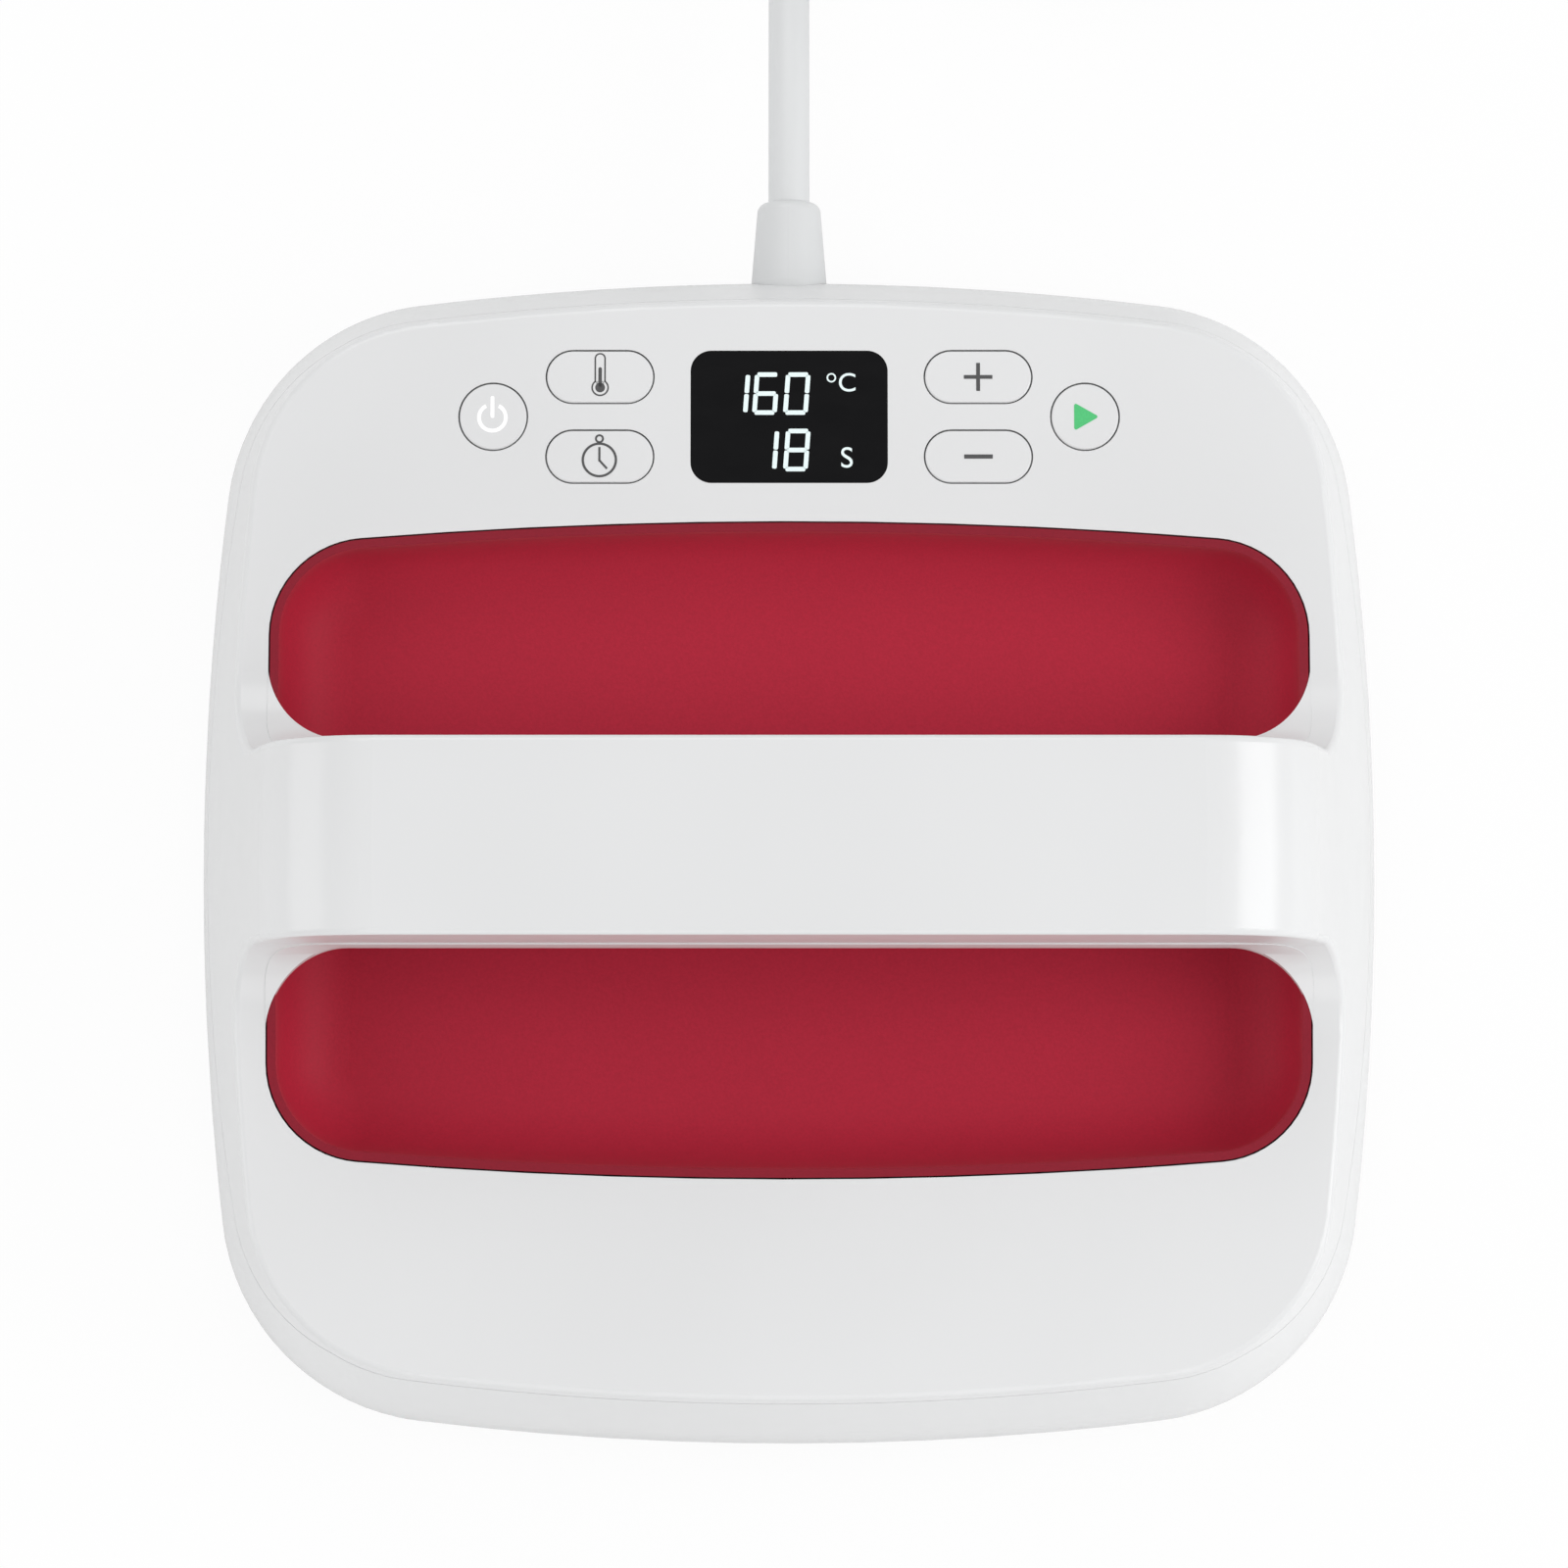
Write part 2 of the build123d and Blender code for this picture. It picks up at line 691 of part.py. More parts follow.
# Six buttons, each with its stem and the plunger of its switch
for name, button_place in buttons.items():
    centre = [button_place[:2]]
    with BuildPart() as button:
        add(button_outline(panel, button_place, -button_gap))
        extrude(amount=-flange_bottom)
        cap_top = button.faces().sort_by(Axis(origin=(0, 0, 0), direction=panel_up))[-1]
        fillet(cap_top.edges(), button_edge_radius)
        add(button_outline(panel.offset(-flange_top), button_place, flange_reach))
        extrude(amount=-flange_depth)
        add(round_holes(panel.offset(-flange_top), centre, stem_diameter / 2, -(plunger_top - flange_top)))
    save(button.part, f"{name}_button")
    with BuildPart() as plunger:
        add(round_holes(panel.offset(-plunger_top), centre, plunger_diameter / 2, -plunger_length))
    save(plunger.part, f"{name}_plunger")
with BuildPart() as switch_bodies:
    with BuildSketch(board_top):
        with Locations([place[:2] for place in buttons.values()]):
            Rectangle(switch_size, switch_size)
    extrude(amount=switch_height)
    bores = round_holes(
        panel.offset(-switch_top),
        [place[:2] for place in buttons.values()],
        plunger_diameter / 2 + plunger_gap,
        -plunger_bore_depth,
    )
    add(bores, mode=Mode.SUBTRACT)
save(switch_bodies.part, "switch_bodies")

# Control board with its screws, and the chips and the buzzer below it
board_bottom = board_depth + board_thickness
board_under = Plane(
    origin=panel.offset(-board_bottom).origin, x_dir=(1, 0, 0), z_dir=panel_up * -1
)
with BuildPart() as control_board:
    with BuildSketch(board_top):
        RectangleRounded(control_board_width, control_board_height, 2)
        with Locations(board_screw_places):
            Circle(pass_hole, mode=Mode.SUBTRACT)
    extrude(amount=-board_thickness)
save(control_board.part, "control_board")
board_screw_length = board_bottom - wall - 1 - screw_tip_room
save(
    screws(board_under, board_screw_places, small_screw_diameter, small_screw_head, board_screw_length),
    "control_board_screws",
)
with BuildPart() as control_chips:
    for x, width, depth in ((-44, 12, 12), (-22, 8, 6), (22, 10, 7), (62, 6, 12)):
        with BuildSketch(board_under):
            with Locations((x, 0)):
                Rectangle(width, depth)
        extrude(amount=chip_height)
save(control_chips.part, "control_chips")
with BuildPart() as buzzer:
    add(round_holes(board_under, [(buzzer_place, 0)], buzzer_diameter / 2, buzzer_height))
    buzzer_face = board_under.offset(buzzer_height)
    add(round_holes(buzzer_face, [(buzzer_place, 0)], buzzer_hole_diameter / 2, -1), mode=Mode.SUBTRACT)
save(buzzer.part, "buzzer")

# Power board on spacers
power_spacer_places = [
    (x, power_board_middle + y) for x, y in mirrored(power_spacer_spread_x, power_spacer_spread_y)
]
power_plane = Plane.XY.offset(power_board_height + board_thickness)
with BuildPart() as power_board:
    with BuildSketch(Plane.XY.offset(power_board_height)):
        with Locations((0, power_board_middle)):
            RectangleRounded(power_board_width, power_board_depth, 2)
        with Locations(power_spacer_places):
            Circle(pass_hole, mode=Mode.SUBTRACT)
    extrude(amount=board_thickness)
save(power_board.part, "power_board")
with BuildPart() as board_spacers:
    with BuildSketch(shield_plane):
        with Locations(power_spacer_places):
            Circle(power_spacer_diameter / 2)
        with Locations(power_spacer_places):
            Circle(tight_hole, mode=Mode.SUBTRACT)
    extrude(amount=power_board_height - shield_top)
save(board_spacers.part, "board_spacers")
power_screw_length = power_plane.origin.Z - shield_top - screw_tip_room
save(
    screws(power_plane, power_spacer_places, small_screw_diameter, small_screw_head, power_screw_length),
    "power_board_screws",
)


def board_block(place, size, edge):
    """A moulded component that stands on the power board."""
    with BuildPart() as component:
        with BuildSketch(power_plane):
            with Locations((place, power_board_middle)):
                RectangleRounded(size[0], size[1], edge)
        extrude(amount=size[2])
    return component.part


save(board_block(relay_place, relay_size, 1), "relay")
save(board_block(transformer_place, transformer_size, 2), "transformer")
with BuildPart() as capacitors:
    capacitor_places = [
        (capacitor_place, power_board_middle + side * capacitor_spread) for side in (-1, 1)
    ]
    add(round_holes(power_plane, capacitor_places, capacitor_diameter / 2, capacitor_height))
save(capacitors.part, "capacitors")

# Finned heat sink with the triac against its back
sink_back = power_board_middle + sink_size[1] / 2
with BuildPart() as triac_heat_sink:
    with BuildSketch(power_plane):
        with Locations((sink_place, sink_back - sink_base / 2)):
            Rectangle(sink_size[0], sink_base)
        fin_span = sink_size[0] - sink_fin_thickness
        fin_length = sink_size[1] - triac_size[1]
        for k in range(sink_fins):
            fin_place = sink_place + fin_span * (k / (sink_fins - 1) - 0.5)
            with Locations((fin_place, sink_back - fin_length / 2)):
                Rectangle(sink_fin_thickness, fin_length)
    extrude(amount=sink_size[2])
save(triac_heat_sink.part, "triac_heat_sink")
with BuildPart() as triac:
    with BuildSketch(power_plane):
        with Locations((sink_place, sink_back + triac_size[1] / 2)):
            Rectangle(triac_size[0], triac_size[1])
    extrude(amount=triac_size[2])
save(triac.part, "triac")

# Terminal block on the shield, with a screw well for each lead
terminal_wells = [(terminal_place[0] + k * terminal_pitch, terminal_place[1]) for k in (-1, 0, 1)]
terminal_top = shield_top + terminal_size[2]
with BuildPart() as terminal_block:
    with BuildSketch(shield_plane):
        with Locations(terminal_place):
            RectangleRounded(terminal_size[0], terminal_size[1], 1)
    extrude(amount=terminal_size[2])
    well_plane = Plane.XY.offset(terminal_top)
    add(
        round_holes(well_plane, terminal_wells, terminal_screw_diameter / 2, -terminal_screw_depth),
        mode=Mode.SUBTRACT,
    )
save(terminal_block.part, "terminal_block")

# The cord's end inside: the clamped tail, and its three leads to the terminal block
with BuildPart() as cord_tail:
    relief_flange_end = relief_flange_reach - relief_flange_thickness
    tail_plane = Plane(origin=(0, tail_end, cord_height), x_dir=(1, 0, 0), z_dir=(0, 1, 0))
    add(round_holes(tail_plane, [(0, 0)], cord_diameter / 2, relief_flange_end - tail_end))
save(cord_tail.part, "cord_tail")
terminal_rear = terminal_place[1] + terminal_size[1] / 2
terminal_front = terminal_place[1] - terminal_size[1] / 2
with BuildPart() as mains_leads:
    for k, (x, y) in enumerate(terminal_wells):
        z = cord_height + (k - 1) * lead_spread
        add(lead([(0, tail_end, z), (0, lead_turn_reach, z), (x, lead_turn_reach, z), (x, terminal_rear, z)]))
save(mains_leads.part, "mains_leads")

# Leads on to the power board, to the element, from the sensor and fuse, and the earth of the shield
lead_end_y = power_board_middle + power_board_depth / 2 - lead_end_inset
with BuildPart() as supply_leads:
    for x, y in terminal_wells[:2]:
        last = (x, lead_end_y, power_board_height)
        add(lead([(x, terminal_front, lead_height), (x, lead_end_y, lead_height), last]))
save(supply_leads.part, "supply_leads")
with BuildPart() as sensor_leads:
    for x, top in ((0, sensor_top), (fuse_reach, fuse_top)):
        last = (x, lead_end_y, power_board_height)
        add(lead([(x, 0, top), (x, 0, lead_height), (x, lead_end_y, lead_height), last]))
save(sensor_leads.part, "sensor_leads")
with BuildPart() as heater_leads:
    for x, y in pin_places:
        end_x = math.copysign(heater_lead_end, x)
        add(
            lead(
                [
                    (x, y, pin_top),
                    (x, y, lead_height),
                    (x, lead_end_y, lead_height),
                    (end_x, lead_end_y, lead_height),
                    (end_x, lead_end_y, power_board_height),
                ]
            )
        )
save(heater_leads.part, "heater_leads")
earth_x, earth_y = earth_lead_place
well_x = terminal_wells[-1][0]
earth_route = [
    (well_x, terminal_front, lead_height),
    (well_x, earth_y, lead_height),
    (earth_x, earth_y, lead_height),
    (earth_x, earth_y, shield_top),
]
save(lead(earth_route), "earth_lead")

# Flat ribbon between the two boards, under the hand hollow
ribbon_start = board_under.from_local_coords((ribbon_place, ribbon_reach, ribbon_gap))
with BuildPart() as ribbon_cable:
    with BuildLine() as ribbon_path:
        FilletPolyline(
            ribbon_start,
            (ribbon_place, ribbon_start.Y, ribbon_height),
            (ribbon_place, lead_end_y, ribbon_height),
            (ribbon_place, lead_end_y, power_plane.origin.Z),
            radius=ribbon_bend_radius,
        )
    with BuildSketch(
        Plane(origin=ribbon_path.line @ 0, x_dir=(1, 0, 0), z_dir=ribbon_path.line % 0)
    ):
        Rectangle(ribbon_width, ribbon_thickness)
    sweep(path=ribbon_path.line)
save(ribbon_cable.part, "ribbon_cable")

# Clamp bar over the tail, with its two screws
clamp_top = Plane.XY.offset(cord_height + clamp_gap + clamp_height)
with BuildPart() as cord_clamp:
    with BuildSketch(Plane.XY.offset(cord_height + clamp_gap)):
        with Locations((0, clamp_middle)):
            RectangleRounded(clamp_width, clamp_depth, 1)
    extrude(amount=clamp_height)
    add(round_holes(rear_plane, [(0, 0)], trough, body_depth - tail_end), mode=Mode.SUBTRACT)
    add(round_holes(clamp_top, clamp_screw_places, pass_hole, -clamp_height), mode=Mode.SUBTRACT)
save(cord_clamp.part, "cord_clamp")
clamp_shank = clamp_height + clamp_screw_length - screw_tip_room
save(
    screws(clamp_top, clamp_screw_places, small_screw_diameter, small_screw_head, clamp_shank),
    "clamp_screws",
)

# Strain relief: a moulded sleeve with a flange behind the wall and a taper outside
with BuildPart() as strain_relief:
    with BuildSketch(Plane.YZ):
        with BuildLine():
            Polyline(
                (relief_flange_end, cord_height),
                (relief_flange_end, cord_height + relief_flange_diameter / 2),
                (relief_flange_reach, cord_height + relief_flange_diameter / 2),
                (relief_flange_reach, cord_height + relief_base_diameter / 2),
                (relief_taper_start, cord_height + relief_base_diameter / 2),
                (relief_end, cord_height + relief_tip_diameter / 2),
                (relief_end, cord_height),
                close=True,
            )
        make_face()
    revolve(axis=Axis(origin=(0, 0, cord_height), direction=(0, 1, 0)))
    fillet(strain_relief.faces().sort_by(Axis.Y)[-1].edges(), relief_shoulder)
save(strain_relief.part, "strain_relief")

# Free cord: straight out of the sleeve, then down on to the worktop
floor_height = cord_lift + cord_diameter / 2
cord_route = [
    (0, relief_end, cord_height),
    (0, 186.0, cord_height),
    (0, 222.0, 19.5),
    (0, 255.0, floor_height),
    (0, coil_start - cord_diameter, floor_height),
]
upper_height = floor_height + coil_layer_step
coil_top_x = coil_radius + coil_pitch
coil_top_y = coil_start + coil_radius
plug_height = plug_body_diameter / 2
lead_start = coil_top_x + cord_diameter
lead_route = [
    (lead_start, coil_top_y, upper_height),
    (lead_start + plug_lead_run, coil_top_y, upper_height),
    (lead_start + 2 * plug_lead_run, coil_top_y, plug_height),
    (lead_start + 3 * plug_lead_run, coil_top_y, plug_height),
]


def corner_radii(points):
    """The largest arc that each corner's two runs allow: 0.45 of the shorter run over tan(half turn)."""
    radii = []
    for before, corner, after in zip(points, points[1:], points[2:]):
        run_in = Vector(corner) - Vector(before)
        run_out = Vector(after) - Vector(corner)
        turn = math.radians(run_in.get_angle(run_out))
        radii.append(0.45 * min(run_in.length, run_out.length) / math.tan(turn / 2))
    return radii


def cord_stretch(points, name):
    """A free stretch of the cord: straight runs joined by tangent arcs."""
    radii = corner_radii(points)
    with BuildPart() as stretch:
        with BuildLine() as path:
            FilletPolyline(*points, radius=radii)
        with BuildSketch(Plane(origin=path.line @ 0, z_dir=path.line % 0)):
            Circle(cord_diameter / 2)
        sweep(path=path.line)
    length = path.wire().length
    plain = length * math.pi * cord_diameter**2 / 4
    print(name, "length", round(length, 1), "radii", [round(r, 1) for r in radii])
    print(name, "volume over section times length", round(stretch.part.volume / plain, 4))
    save(stretch.part, name)
    return length


def half_turn(start_x, end_x, side, height):
    """Half a turn of the coil, from one crossing of its middle line to the next."""
    middle = (start_x + end_x) / 2
    radius = abs(end_x - start_x) / 2
    return ThreePointArc(
        (coil_radius + start_x, coil_start, height),
        (coil_radius + middle, coil_start + side * radius, height),
        (coil_radius + end_x, coil_start, height),
    )


# Coil of the length that is put away: five half turns in, a climbing half turn, four half turns out
lower_crossings = [-coil_radius, coil_radius]
for k in (1, 2):
    lower_crossings += [-coil_radius + k * coil_pitch, coil_radius - k * coil_pitch]
inner_left = -coil_radius + 3 * coil_pitch
upper_crossings = [inner_left]
upper_crossings += [coil_radius - coil_pitch, -coil_radius + 2 * coil_pitch, coil_radius]
upper_crossings += [-coil_radius + coil_pitch]
with BuildPart() as cord_coil:
    with BuildLine() as coil_path:
        Line((0, coil_start - cord_diameter, floor_height), (0, coil_start, floor_height))
        for k, (x0, x1) in enumerate(zip(lower_crossings, lower_crossings[1:])):
            half_turn(x0, x1, 1 if k % 2 == 0 else -1, floor_height)
        climb_x = lower_crossings[-1]
        climb_radius = (climb_x - inner_left) / 2
        climb_reach = math.hypot(climb_radius, coil_layer_step / 2)
        climb_start = (coil_radius + climb_x, coil_start, floor_height)
        climb_middle = (
            coil_radius + climb_x - climb_radius,
            coil_start - climb_reach,
            floor_height + coil_layer_step / 2,
        )
        first_climb = TangentArc(climb_start, climb_middle, tangent=(0, -1, 0))
        TangentArc(climb_middle, (coil_radius + inner_left, coil_start, upper_height), tangent=first_climb % 1)
        for k, (x0, x1) in enumerate(zip(upper_crossings, upper_crossings[1:])):
            half_turn(x0, x1, 1 if k % 2 == 0 else -1, upper_height)
        last_x = coil_radius + upper_crossings[-1]
        last_radius = coil_top_x - last_x
        sweep_in = last_radius * math.sqrt(0.5)
        ThreePointArc(
            (last_x, coil_start, upper_height),
            (coil_top_x - sweep_in, coil_start + sweep_in, upper_height),
            (coil_top_x, coil_start + last_radius, upper_height),
        )
        Line((coil_top_x, coil_top_y, upper_height), (lead_start, coil_top_y, upper_height))
    with BuildSketch(Plane(origin=coil_path.line @ 0, z_dir=(0, 1, 0))):
        Circle(cord_diameter / 2)
    sweep(path=coil_path.line)
save(cord_coil.part, "cord_coil")
coil_wire = coil_path.wire()
coil_length = coil_wire.length
coil_plain = coil_length * math.pi * cord_diameter**2 / 4
print("coil last radius", round(last_radius, 2), "reaches", round(coil_start + last_radius - coil_top_y, 3))
print("coil length", round(coil_length, 1), "volume over plain", round(cord_coil.part.volume / coil_plain, 4))

# Least gap of the coil to itself, on points two millimetres apart and more than half a turn away
count = int(coil_length / 2)
coil_points = [coil_wire @ (k / count) for k in range(count + 1)]
apart = int(climb_radius * math.pi / 2)
least = min(
    (coil_points[i] - coil_points[j]).length
    for i in range(0, count + 1, 2)
    for j in range(i + apart, count + 1)
)
print("least gap of the coil to itself", round(least - cord_diameter, 2))
shown_length = cord_stretch(cord_route, "power_cord")
lead_length = cord_stretch(lead_route, "plug_lead")
print("cord length in all", round(shown_length + coil_length + lead_length, 1))

# Tie round the bundle of turns
bundle_inner = coil_radius + lower_crossings[-1] - cord_diameter / 2 - 8 * tie_gap
bundle_outer = 2 * coil_radius + cord_diameter / 2 + tie_gap
bundle_low = cord_lift - tie_gap
bundle_high = upper_height + cord_diameter / 2 + tie_gap
with BuildPart() as coil_tie:
    with BuildSketch(Plane(origin=(0, coil_start, 0), x_dir=(1, 0, 0), z_dir=(0, -1, 0))):
        with Locations(((bundle_inner + bundle_outer) / 2, (bundle_low + bundle_high) / 2)):
            RectangleRounded(
                bundle_outer - bundle_inner + 2 * tie_thickness,
                bundle_high - bundle_low + 2 * tie_thickness,
                tie_corner_radius + tie_thickness,
            )
            RectangleRounded(
                bundle_outer - bundle_inner,
                bundle_high - bundle_low,
                tie_corner_radius,
                mode=Mode.SUBTRACT,
            )
    extrude(amount=tie_width / 2, both=True)
save(coil_tie.part, "coil_tie")

# Earthed plug: a tapered grip, a round front, two pins, side contacts and an earth bore
plug_start = lead_route[-1][0]
plug_face = plug_start + plug_neck_length + plug_grip_length + plug_body_length
plug_plane = Plane(origin=(plug_face, coil_top_y, plug_height), x_dir=(0, 1, 0), z_dir=(1, 0, 0))
body_start = plug_start + plug_neck_length + plug_grip_length
with BuildPart() as plug_body:
    with BuildSketch(Plane.XZ.offset(-coil_top_y)):
        with BuildLine():
            Polyline(
                (plug_start, plug_height),
                (plug_start, plug_height + cord_diameter / 2 + 1.3),
                (plug_start + plug_neck_length, plug_height + plug_neck_diameter / 2),
                (plug_start + plug_neck_length + 3, plug_height + plug_grip_diameter / 2),
                (body_start - 3, plug_height + plug_grip_diameter / 2 + 1.5),
                (body_start, plug_height + plug_body_diameter / 2),
                (plug_face, plug_height + plug_body_diameter / 2),
                (plug_face, plug_height),
                close=True,
            )
        make_face()
    revolve(axis=Axis(origin=(0, coil_top_y, plug_height), direction=(1, 0, 0)))
    rims = plug_body.edges().filter_by(GeomType.CIRCLE).sort_by(SortBy.RADIUS)[-2:]
    fillet(rims, plug_edge_radius)
    with BuildSketch(plug_plane):
        for side in (-1, 1):
            with Locations((side * plug_body_diameter / 2, 0)):
                Rectangle(4 * earth_clip_thickness, earth_clip_width + 1)
    extrude(amount=-plug_body_length, mode=Mode.SUBTRACT)
    add(
        round_holes(plug_plane, [(plug_pin_spread, 0)], earth_bore_diameter / 2, -earth_bore_depth),
        mode=Mode.SUBTRACT,
    )
    pin_holes = [(0, -plug_pin_spread), (0, plug_pin_spread)]
    add(round_holes(plug_plane, pin_holes, plug_pin_diameter / 2, -earth_bore_depth), mode=Mode.SUBTRACT)
save(plug_body.part, "plug_body")
with BuildPart() as plug_pins:
    add(round_holes(plug_plane, pin_holes, plug_pin_diameter / 2, plug_pin_length))
    pin_tips = plug_pins.faces().sort_by(Axis.X)[-2:]
    fillet(pin_tips.edges(), plug_pin_diameter / 2 - 0.6)
    add(round_holes(plug_plane, pin_holes, plug_pin_diameter / 2, -earth_bore_depth))
save(plug_pins.part, "plug_pins")
clip_reach = plug_body_diameter / 2 - 2 * earth_clip_thickness + earth_clip_thickness / 2
with BuildPart() as plug_earth_clips:
    with BuildSketch(plug_plane):
        with Locations((-clip_reach, 0), (clip_reach, 0)):
            Rectangle(earth_clip_thickness, earth_clip_width)
    extrude(amount=-(plug_body_length - 1))
save(plug_earth_clips.part, "plug_earth_clips")
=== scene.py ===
import json
import math

import bpy
from mathutils import Matrix, Vector


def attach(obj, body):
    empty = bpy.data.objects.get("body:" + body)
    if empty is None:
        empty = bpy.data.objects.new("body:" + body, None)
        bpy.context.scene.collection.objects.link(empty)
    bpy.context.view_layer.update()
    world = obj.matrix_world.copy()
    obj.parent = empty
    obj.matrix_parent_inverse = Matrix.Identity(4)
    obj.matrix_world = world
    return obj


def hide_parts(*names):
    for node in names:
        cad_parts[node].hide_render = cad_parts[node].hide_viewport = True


bl_info = {
    "name": "Handheld heat press",
    "version": (1, 0, 0),
    "blender": (4, 5, 0),
    "location": "3D View > Sidebar > Heat press",
    "description": "Dresses a handheld heat press: finishes, key marks, read-out, mains cord and photo stage",
    "category": "Add Mesh",
}

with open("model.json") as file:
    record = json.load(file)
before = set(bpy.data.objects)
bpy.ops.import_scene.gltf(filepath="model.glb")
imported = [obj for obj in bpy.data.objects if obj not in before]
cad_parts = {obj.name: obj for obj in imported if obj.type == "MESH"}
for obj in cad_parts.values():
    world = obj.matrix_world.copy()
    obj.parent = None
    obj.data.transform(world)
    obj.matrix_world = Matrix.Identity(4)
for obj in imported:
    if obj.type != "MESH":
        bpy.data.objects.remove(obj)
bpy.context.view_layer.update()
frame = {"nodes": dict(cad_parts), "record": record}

MM = 0.001
HOUSING = "housing"
# The control panel's plane: its middle on the rear deck, and the deck's slope towards the cord
PANEL_MIDDLE = Vector((0.0, 100.8, 61.792)) * MM
PANEL_SLOPE = math.radians(3.0)
# Strength of the white that the camera sees behind the object
BACKGROUND_STRENGTH = 1.0
# Where each key's mark lies on the panel, in millimetres from its middle
MARK_PLACES = {
    "power": (-69.5, -0.2),
    "temperature": (-44.3, 9.7),
    "timer": (-44.4, -10.3),
    "plus": (44.3, 9.5),
    "minus": (44.3, -9.5),
    "start": (68.7, 0.0),
}
# The photo's camera: its lens, its distance from the point it aims at, its height angle and that point
LENS = 144.0
CAMERA_DISTANCE = 1.523
CAMERA_ELEVATION = math.radians(84.75)
CAMERA_AIM = Vector((-0.0012, 0.0201, 0.0))


class HeatPressColours(bpy.types.PropertyGroup):
    """Colours of the visible finishes."""

    housing_white: bpy.props.FloatVectorProperty(
        name="Housing white", description="Gloss moulding of shell, skirt and keys",
        subtype="COLOR", size=3, min=0, max=1, default=(0.745, 0.750, 0.755),
    )
    liner_red: bpy.props.FloatVectorProperty(
        name="Liner red", description="Soft-touch lining of the hand hollow and the grip",
        subtype="COLOR", size=3, min=0, max=1, default=(0.485, 0.0185, 0.046),
    )
    mark_grey: bpy.props.FloatVectorProperty(
        name="Mark grey", description="Printed symbols on the keys",
        subtype="COLOR", size=3, min=0, max=1, default=(0.072, 0.072, 0.074),
    )
    start_green: bpy.props.FloatVectorProperty(
        name="Start green", description="Lit symbol on the start key",
        subtype="COLOR", size=3, min=0, max=1, default=(0.07, 0.50, 0.17),
    )
    readout_white: bpy.props.FloatVectorProperty(
        name="Read-out white", description="Lit segments and unit letters",
        subtype="COLOR", size=3, min=0, max=1, default=(0.76, 0.87, 0.87),
    )
    cord_white: bpy.props.FloatVectorProperty(
        name="Cord white", description="Sheath of the mains cord",
        subtype="COLOR", size=3, min=0, max=1, default=(0.70, 0.71, 0.715),
    )


class HeatPressSizes(bpy.types.PropertyGroup):
    """Sizes of the pieces that are modelled here."""

    cord_diameter: bpy.props.FloatProperty(
        name="Cord diameter", description="Outside diameter of the mains cord",
        unit="LENGTH", default=9.8 * MM, min=4 * MM, max=12 * MM,
    )
    mark_relief: bpy.props.FloatProperty(
        name="Mark relief", description="How far a printed symbol stands above its key",
        unit="LENGTH", default=0.06 * MM, min=0.01 * MM, max=0.5 * MM,
    )
    digit_height: bpy.props.FloatProperty(
        name="Digit height", description="Height of a seven-segment digit",
        unit="LENGTH", default=10.15 * MM, min=4 * MM, max=14 * MM,
    )
    digit_width: bpy.props.FloatProperty(
        name="Digit width", description="Width of a seven-segment digit",
        unit="LENGTH", default=5.8 * MM, min=2 * MM, max=9 * MM,
    )
    digit_stroke: bpy.props.FloatProperty(
        name="Digit stroke", description="Width of one segment",
        unit="LENGTH", default=1.08 * MM, min=0.3 * MM, max=2 * MM,
    )
    web_radius: bpy.props.FloatProperty(
        name="Corner radius", description="Plan radius of the hollow's corners beside the handle",
        unit="LENGTH", default=20.0 * MM, min=5 * MM, max=21 * MM,
    )
    digit_slant: bpy.props.FloatProperty(
        name="Digit slant", description="Lean of the digits to the right",
        subtype="ANGLE", default=math.radians(4.2), min=0, max=math.radians(15),
    )


def deselect_all():
    """Leave edit mode and leave nothing selected."""
    if bpy.context.mode != "OBJECT":
        bpy.ops.object.mode_set(mode="OBJECT")
    bpy.ops.object.select_all(action="DESELECT")


def named(name):
    """Name the object that was just added and return it."""
    piece = bpy.context.object
    piece.name = name
    piece.data.name = name
    return piece


def select_where(piece, keep, kind="FACE"):
    """In edit mode, select the faces or vertices of a piece whose middles pass a test."""
    bpy.ops.mesh.select_all(action="DESELECT")
    bpy.ops.mesh.select_mode(type=kind)
    bpy.ops.object.mode_set(mode="OBJECT")
    if kind == "FACE":
        for face in piece.data.polygons:
            face.select = keep(face.center)
    else:
        for vertex in piece.data.vertices:
            vertex.select = keep(vertex.co)
    bpy.ops.object.mode_set(mode="EDIT")


def raise_flat(height):
    """Turn the flat shape in edit mode into a thin plate that stands on its own plane."""
    bpy.ops.mesh.select_all(action="SELECT")
    bpy.ops.mesh.extrude_region_move(TRANSFORM_OT_translate={"value": (0, 0, height)})
    bpy.ops.mesh.select_all(action="SELECT")
    bpy.ops.mesh.normals_make_consistent(inside=False)
    bpy.ops.object.mode_set(mode="OBJECT")


def plate_bar(name, length, width, height, x=0.0, y=0.0, turn=0.0, chamfer=0.0):
    """A thin bar along local Y, with chamfered or rounded ends."""
    deselect_all()
    bpy.ops.mesh.primitive_plane_add(size=1)
    piece = named(name)
    piece.scale = (width, length, 1)
    bpy.ops.object.transform_apply(location=False, rotation=False, scale=True)
    bpy.ops.object.mode_set(mode="EDIT")
    if chamfer > 0:
        bpy.ops.mesh.select_all(action="SELECT")
        bpy.ops.mesh.bevel(offset=chamfer, segments=2, affect="VERTICES")
    raise_flat(height)
    piece.rotation_euler = (0, 0, turn)
    piece.location = (x, y, 0)
    bpy.ops.object.transform_apply(location=True, rotation=True, scale=True)
    return piece


